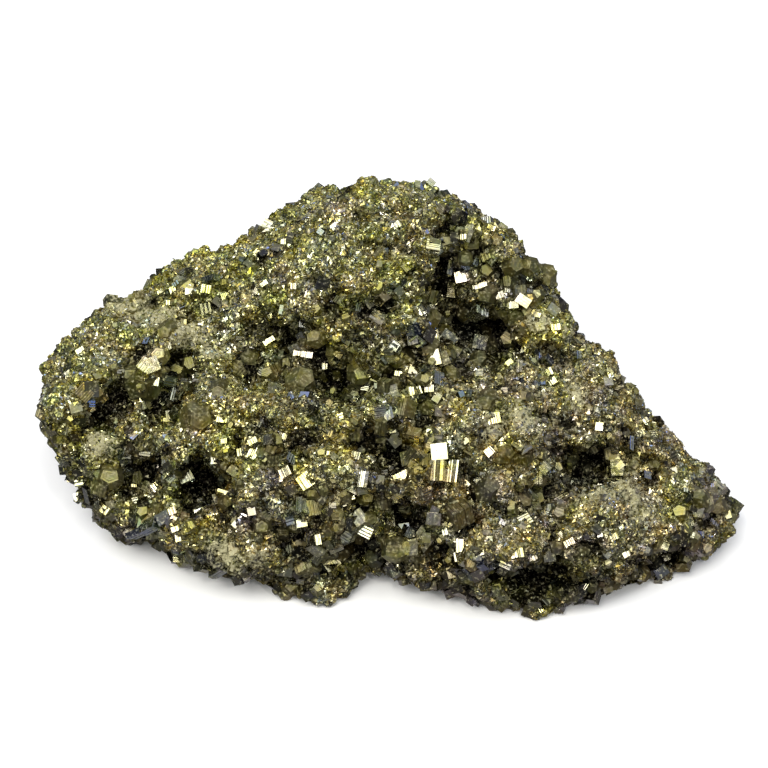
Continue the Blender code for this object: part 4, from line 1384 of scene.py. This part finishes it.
def stepped_normal(tree, tone, height):
    """The normal of a face with growth steps, as high as its tone times the height."""
    steps = add_node(tree, "Attribute", attribute_name="steps").outputs["Fac"]
    ridged = add_node(tree, "TexVoronoi", voronoi_dimensions="1D", W=steps, Scale=1 / STEP)
    own = add_node(tree, "Math", operation="MAXIMUM", _0=tone, _1=LEAST_STEP).outputs[0]
    ridged = add_node(tree, "Math", operation="MULTIPLY", _0=ridged.outputs["Distance"], _1=own)
    return add_node(tree, "Bump", Strength=1.0, Distance=height, Height=ridged.outputs[0]).outputs[0]


print("facets every", round(GLINT / MM, 2), "mm, growth steps every", STEP, "mm")

# %% [markdown]
# ## The brass and its films
#
# Fresh pyrite is pale brass, worn pyrite greener or more bronze. The two shades of each change
# slowly over the specimen. On top lies a film of iron oxide, thin enough to show interference
# colours. It shifts red and blue a little from place to place, and on some crystals it has
# grown to a full amber or steel blue. The shader's Thin Film gives such colours too, but they
# are hard to keep this faint, so the film is multiplied onto the colour.

# %% The colour of clean and tarnished pyrite
WORN = ("#B4B06D", "#B5AC7C")  # greenish and bronze brass, on the fine druse
FRESH = ("#B7B58F", "#B9B293")  # the same two on smooth, clean faces
AMBER = "#EBDCBC"  # films of iron oxide
STEEL = "#B9C4E0"
CLEAN = "#FFFFFF"
FILM = 6 * MM  # widest patches of tarnish film
BRASS_ZONE = 26 * MM  # widest patches of either brass
BRASS_SPAN = 90 * MM  # the one brass gives way to the other over this length
BRASS_LEAN = (0.6, -0.55, -0.55)  # in this direction


def brass_colour(tree, place, tone, brass):
    """The two brasses mixed slowly, times the crystal's film, times the patches of film."""
    zones = add_node(tree, "TexNoise", Vector=place, Scale=1 / BRASS_ZONE, Detail=3.0).outputs[0]
    lean = add_node(tree, "VectorMath", operation="DOT_PRODUCT", _0=place, _1=BRASS_LEAN)
    lean = lean.outputs["Value"]
    lean = add_node(tree, "Math", operation="MULTIPLY_ADD", _0=lean, _1=1 / BRASS_SPAN, _2=zones)
    stops = ((0.05, linear(brass[0])), (0.6, linear(brass[1])))
    metal = add_node(tree, "ValToRGB", stops, Fac=lean.outputs[0]).outputs[0]
    film = add_node(tree, "Math", operation="MULTIPLY", _0=tone, _1=FILMS).outputs[0]
    film = add_node(tree, "Math", operation="FRACT", _0=film).outputs[0]
    stops = ((0, linear(CLEAN)), (0.8, linear(AMBER)), (0.9, linear(STEEL)))
    own = add_node(tree, "ValToRGB", stops, Fac=film)
    own.color_ramp.interpolation = "CONSTANT"
    tinted = add_node(
        tree, "Mix", data_type="RGBA", blend_type="MULTIPLY", _0=1.0, _6=metal, _7=own.outputs[0]
    )
    patches = add_node(tree, "TexNoise", Vector=place, Scale=1 / FILM, Detail=4.0, Roughness=0.75)
    patches = patches.outputs["Color"]
    stretch, shift = (0.8, 0, 3.2), (0.6, 1, -0.6)  # red varies a little, green not, blue most
    patches = add_node(
        tree, "VectorMath", operation="MULTIPLY_ADD", _0=patches, _1=stretch, _2=shift
    ).outputs[0]
    patches = add_node(tree, "VectorMath", operation="MAXIMUM", _0=patches, _1=(0.3, 0.3, 0.2))
    return add_node(
        tree, "VectorMath", operation="MULTIPLY", _0=tinted.outputs[2], _1=patches.outputs[0]
    ).outputs[0]


print("worn brass", *WORN, "fresh brass", *FRESH)

# %% [markdown]
# ## Hollows, dust and gloss
#
# Hollows, gaps and rooms are painted brown-black by their shade: partly painted shade, since
# light hardly gets in there, and partly the iron oxide that the hollows hold. The dust is a matt
# mineral, so where it lies the surface is less metallic and rougher as well as paler. One noise
# of half a millimetre mottles both the brightness and the gloss, as a smudged surface has both
# at the same places.

# %% The whole pyrite finish
# painted shade: the colour that hollows, gaps and rooms go to
PAINTED_SHADE_COLOUR = "#1B1813"
DUST_COLOUR = "#ABA682"
MOTTLE = 0.5 * MM


def pyrite_finish(name, brass, facet_tilt, roughness, step_height):
    """Pyrite: metal whose facets tilt cell by cell, with slow changes of tint, painted shade in hollows,
    and dust.
    """
    material = bpy.data.materials.new(name)
    material.use_nodes = True
    tree = material.node_tree
    place = add_node(tree, "TexCoord").outputs["Object"]
    druse = add_node(tree, "Attribute", attribute_name="druse").outputs["Color"]
    tone, shade, dust = add_node(tree, "SeparateColor", Color=druse).outputs
    if step_height:
        normal = stepped_normal(tree, tone, step_height)
    else:
        normal = facet_normal(tree, place, facet_tilt)

    mottle = add_node(tree, "TexNoise", Vector=place, Scale=1 / MOTTLE, Detail=3.0).outputs[0]
    mottled = {"Value": mottle, "From_Min": 0.3, "From_Max": 0.7}
    bright = add_node(tree, "MapRange", **mottled, To_Min=0.8, To_Max=1.15).outputs[0]
    own = add_node(tree, "Math", operation="MULTIPLY_ADD", _0=tone, _1=0.8, _2=0.5).outputs[0]
    bright = add_node(tree, "Math", operation="MULTIPLY", _0=own, _1=bright).outputs[0]
    colour = brass_colour(tree, place, tone, brass)
    colour = add_node(tree, "VectorMath", operation="SCALE", _0=colour, Scale=bright).outputs[0]
    dark, pale = linear(PAINTED_SHADE_COLOUR), linear(DUST_COLOUR)
    # painted shade: the colour goes toward the dark by the shade attribute
    colour = add_node(tree, "Mix", data_type="RGBA", _0=shade, _6=colour, _7=dark).outputs[2]

    speckle = add_node(tree, "TexNoise", Vector=place, Scale=1 / MOTTLE, Detail=2.0).outputs[0]
    dusty = add_node(tree, "Math", operation="MULTIPLY_ADD", _0=speckle, _1=2.4, _2=dust).outputs[0]
    dusty = add_node(tree, "MapRange", Value=dusty, From_Min=1.35, From_Max=1.9).outputs[0]
    colour = add_node(tree, "Mix", data_type="RGBA", _0=dusty, _6=colour, _7=pale).outputs[2]
    metal = add_node(tree, "Math", operation="MULTIPLY_ADD", _0=dusty, _1=-0.7, _2=1.0).outputs[0]
    rough = add_node(tree, "MapRange", **mottled, To_Min=0.75 * roughness, To_Max=1.3 * roughness)
    rough = rough.outputs[0]
    rough = add_node(tree, "Math", operation="MULTIPLY_ADD", _0=dusty, _1=0.4, _2=rough).outputs[0]
    sockets = {"Base Color": colour, "Metallic": metal, "Roughness": rough, "Normal": normal}
    for socket, value in sockets.items():
        tree.links.new(value, tree.nodes["Principled BSDF"].inputs[socket])
    return material


print("mottles of", round(MOTTLE / MM, 1), "mm")

# %% [markdown]
# ## Five states of one mineral
#
# It is the same pyrite everywhere, so one function makes all its finishes, and they differ in
# gloss, in how far the facets tilt and in how high the growth steps are. Mixing them in one
# material by attribute would work too, but would be slow and hard to change.

# %% The five finishes
finishes = {
    # Broken crust: painted dark, as painted shade between the grains, with a soft glitter in every
    # direction.
    "crust": pyrite_finish("pyrite_crust", WORN, 0.8, 0.45, 0),
    # Worn grain: satin brass that brightens towards a lamp.
    "grain": pyrite_finish("pyrite_grain", WORN, 0.35, 0.35, 0),
    # Fresh grain: sharp sparks here and there.
    "glint": pyrite_finish("pyrite_bright_grain", FRESH, 0.2, 0.15, 0),
    # Smooth crystal face: mirrors a lamp or the room, in fine stripes.
    "crystal": pyrite_finish("pyrite_crystal", FRESH, 0.0, 0.17, 0.08 * MM),
    # Tarnished crystal face: a dull sheen over coarse steps.
    "dull": pyrite_finish("pyrite_tarnished", WORN, 0.0, 0.45, 0.2 * MM),
}
print("finishes:", ", ".join(m.name for m in finishes.values()))

# %% [markdown]
# ## Dressing the pieces
#
# Every piece takes one finish and rides on the specimen's one body. The crust takes the place of
# the imported solid. The finishes are three-dimensional and need no map, so each face simply
# gets its own cell of a square grid. An unwrap of a hundred thousand facets would take minutes
# and gain nothing.

# %% Finish, slot and seat every piece
FINISH_OF = {
    "druse_crust": "crust",
    "druse_grains_3": "glint",
    "druse_grains_4": "glint",
    "cubes": "crystal",
    "bright_blocks": "crystal",
    "large_crystals": "crystal",
    "pyritohedra": "dull",
    "dull_blocks": "dull",
    "ringed_pyritohedra": "dull",
}


def face_cells(piece):
    """A UV map where each face fills its own cell of a square grid, as its finish is 3-D."""
    mesh = piece.data
    sides = len(mesh.loops) // len(mesh.polygons)
    grid = math.ceil(math.sqrt(len(mesh.polygons)))
    cell = np.stack(np.divmod(np.arange(len(mesh.polygons)), grid), axis=1)
    corners = np.array([(0.15, 0.15), (0.85, 0.15), (0.85, 0.85), (0.15, 0.85)])
    if sides == 3:
        corners = corners[[0, 1, 3]]
    places = (cell[:, None] + corners) / grid
    mesh.uv_layers.new(name="OFBake").data.foreach_set("uv", places.ravel().astype(np.float32))


for piece in [o for o in bpy.data.objects if o.type == "MESH" and o.name != "pyrite_mass"]:
    piece.data.materials.append(finishes[FINISH_OF.get(piece.name, "grain")])
    face_cells(piece)
    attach(piece, "root")
    print(piece.name, "-", piece.data.materials[0].name)
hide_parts("pyrite_mass")

# %% [markdown]
# ## The floor
#
# The specimen stands on a sheet of white paper, much wider than itself. A backdrop box would
# give the same white, but facets at the sides would mirror its corners. The sheet is hidden
# from mirror rays too, or every facet that looks down would shine white.

# %% Lay the floor
FLOOR_HALF = 1.5  # in metres


def plane(name, half):
    """A level square through the origin, from -half to half on both sides."""
    corners = np.array([(-half, -half, 0), (half, -half, 0), (half, half, 0), (-half, half, 0)])
    return make_piece(name, corners, np.array([[0, 1, 2, 3]]))


floor = plane("floor", FLOOR_HALF)
floor.visible_glossy = False
paper = bpy.data.materials.new("floor_paper")  # matt white paper
paper.use_nodes = True
surface = paper.node_tree.nodes["Principled BSDF"].inputs
surface["Base Color"].default_value = linear("#F2F2F0")
surface["Roughness"].default_value = 0.9
floor.data.materials.append(paper)
print("floor:", 2 * FLOOR_HALF, "m wide")

# %% [markdown]
# ## Softboxes
#
# Metal shows what is round it, so the lamps matter as much as the finish. A broad warm key and
# a top light give the bright faces, small bluish ones at the side and behind give the cool
# ones, and a tiny one gives sharp glints. Point lamps would light it as well, but a polished
# face would mirror them as specks.

# %% Place the softboxes
AIM_HEIGHT = 0.02  # the lamps face this point above the ground, in metres


def softbox(name, azimuth, elevation, distance, size, power, colour):
    """A square lamp at that bearing from the front and height, facing the specimen."""
    lamp = bpy.data.lights.new(name, "AREA")
    lamp.size = size
    lamp.energy = power
    lamp.color = linear(colour)[:3]
    bearing = bearing_of(azimuth, elevation)
    obj = bpy.data.objects.new(name, lamp)
    obj.matrix_world = (
        Matrix.Translation(bearing * distance + Vector((0, 0, AIM_HEIGHT)))
        @ (-bearing).to_track_quat("-Z", "Y").to_matrix().to_4x4()
    )
    bpy.context.scene.collection.objects.link(obj)
    print(name, power, "W")


softbox("key", -40, 60, 0.8, 0.45, 5.1, "#FFFDF8")
softbox("glint", 25, 50, 0.8, 0.08, 0.9, "#FFFDF8")
softbox("front", 10, 40, 0.9, 0.5, 0.35, "#FFFFFF")
softbox("top", 50, 75, 0.8, 0.3, 1.2, "#FFFFFF")
softbox("side", 100, 25, 0.8, 0.24, 0.48, "#7899FF")
softbox("window", -130, 40, 0.8, 0.24, 0.48, "#7899FF")

# %% [markdown]
# ## The sky
#
# The rest of the room is a soft gradient: bright above, grey below and nearly black at the
# horizon. That dark band is what gives the dim faces something dark to mirror. An even sky
# would fill every hollow and make the druse look like plaster.

# %% Paint the sky
SKY_STRENGTH = 1.15
SKY = (  # height from 0 straight down to 1 straight up, and the colour there
    (0, (0.35, 0.34, 0.36, 1)),
    (0.52, (0.03, 0.035, 0.05, 1)),
    (1, (0.85, 0.86, 0.88, 1)),
)

world = bpy.data.worlds.new("studio")
bpy.context.scene.world = world
world.use_nodes = True
sky = world.node_tree
bearing = add_node(sky, "TexCoord").outputs["Generated"]
height = add_node(sky, "SeparateXYZ", Vector=bearing).outputs["Z"]
height = add_node(sky, "Math", operation="MULTIPLY_ADD", _0=height, _1=0.5, _2=0.5).outputs[0]
background = sky.nodes["Background"].inputs
sky.links.new(add_node(sky, "ValToRGB", SKY, Fac=height).outputs[0], background["Color"])
background["Strength"].default_value = SKY_STRENGTH
bpy.context.scene.view_settings.view_transform = "Standard"
print("sky:", len(SKY), "stops")
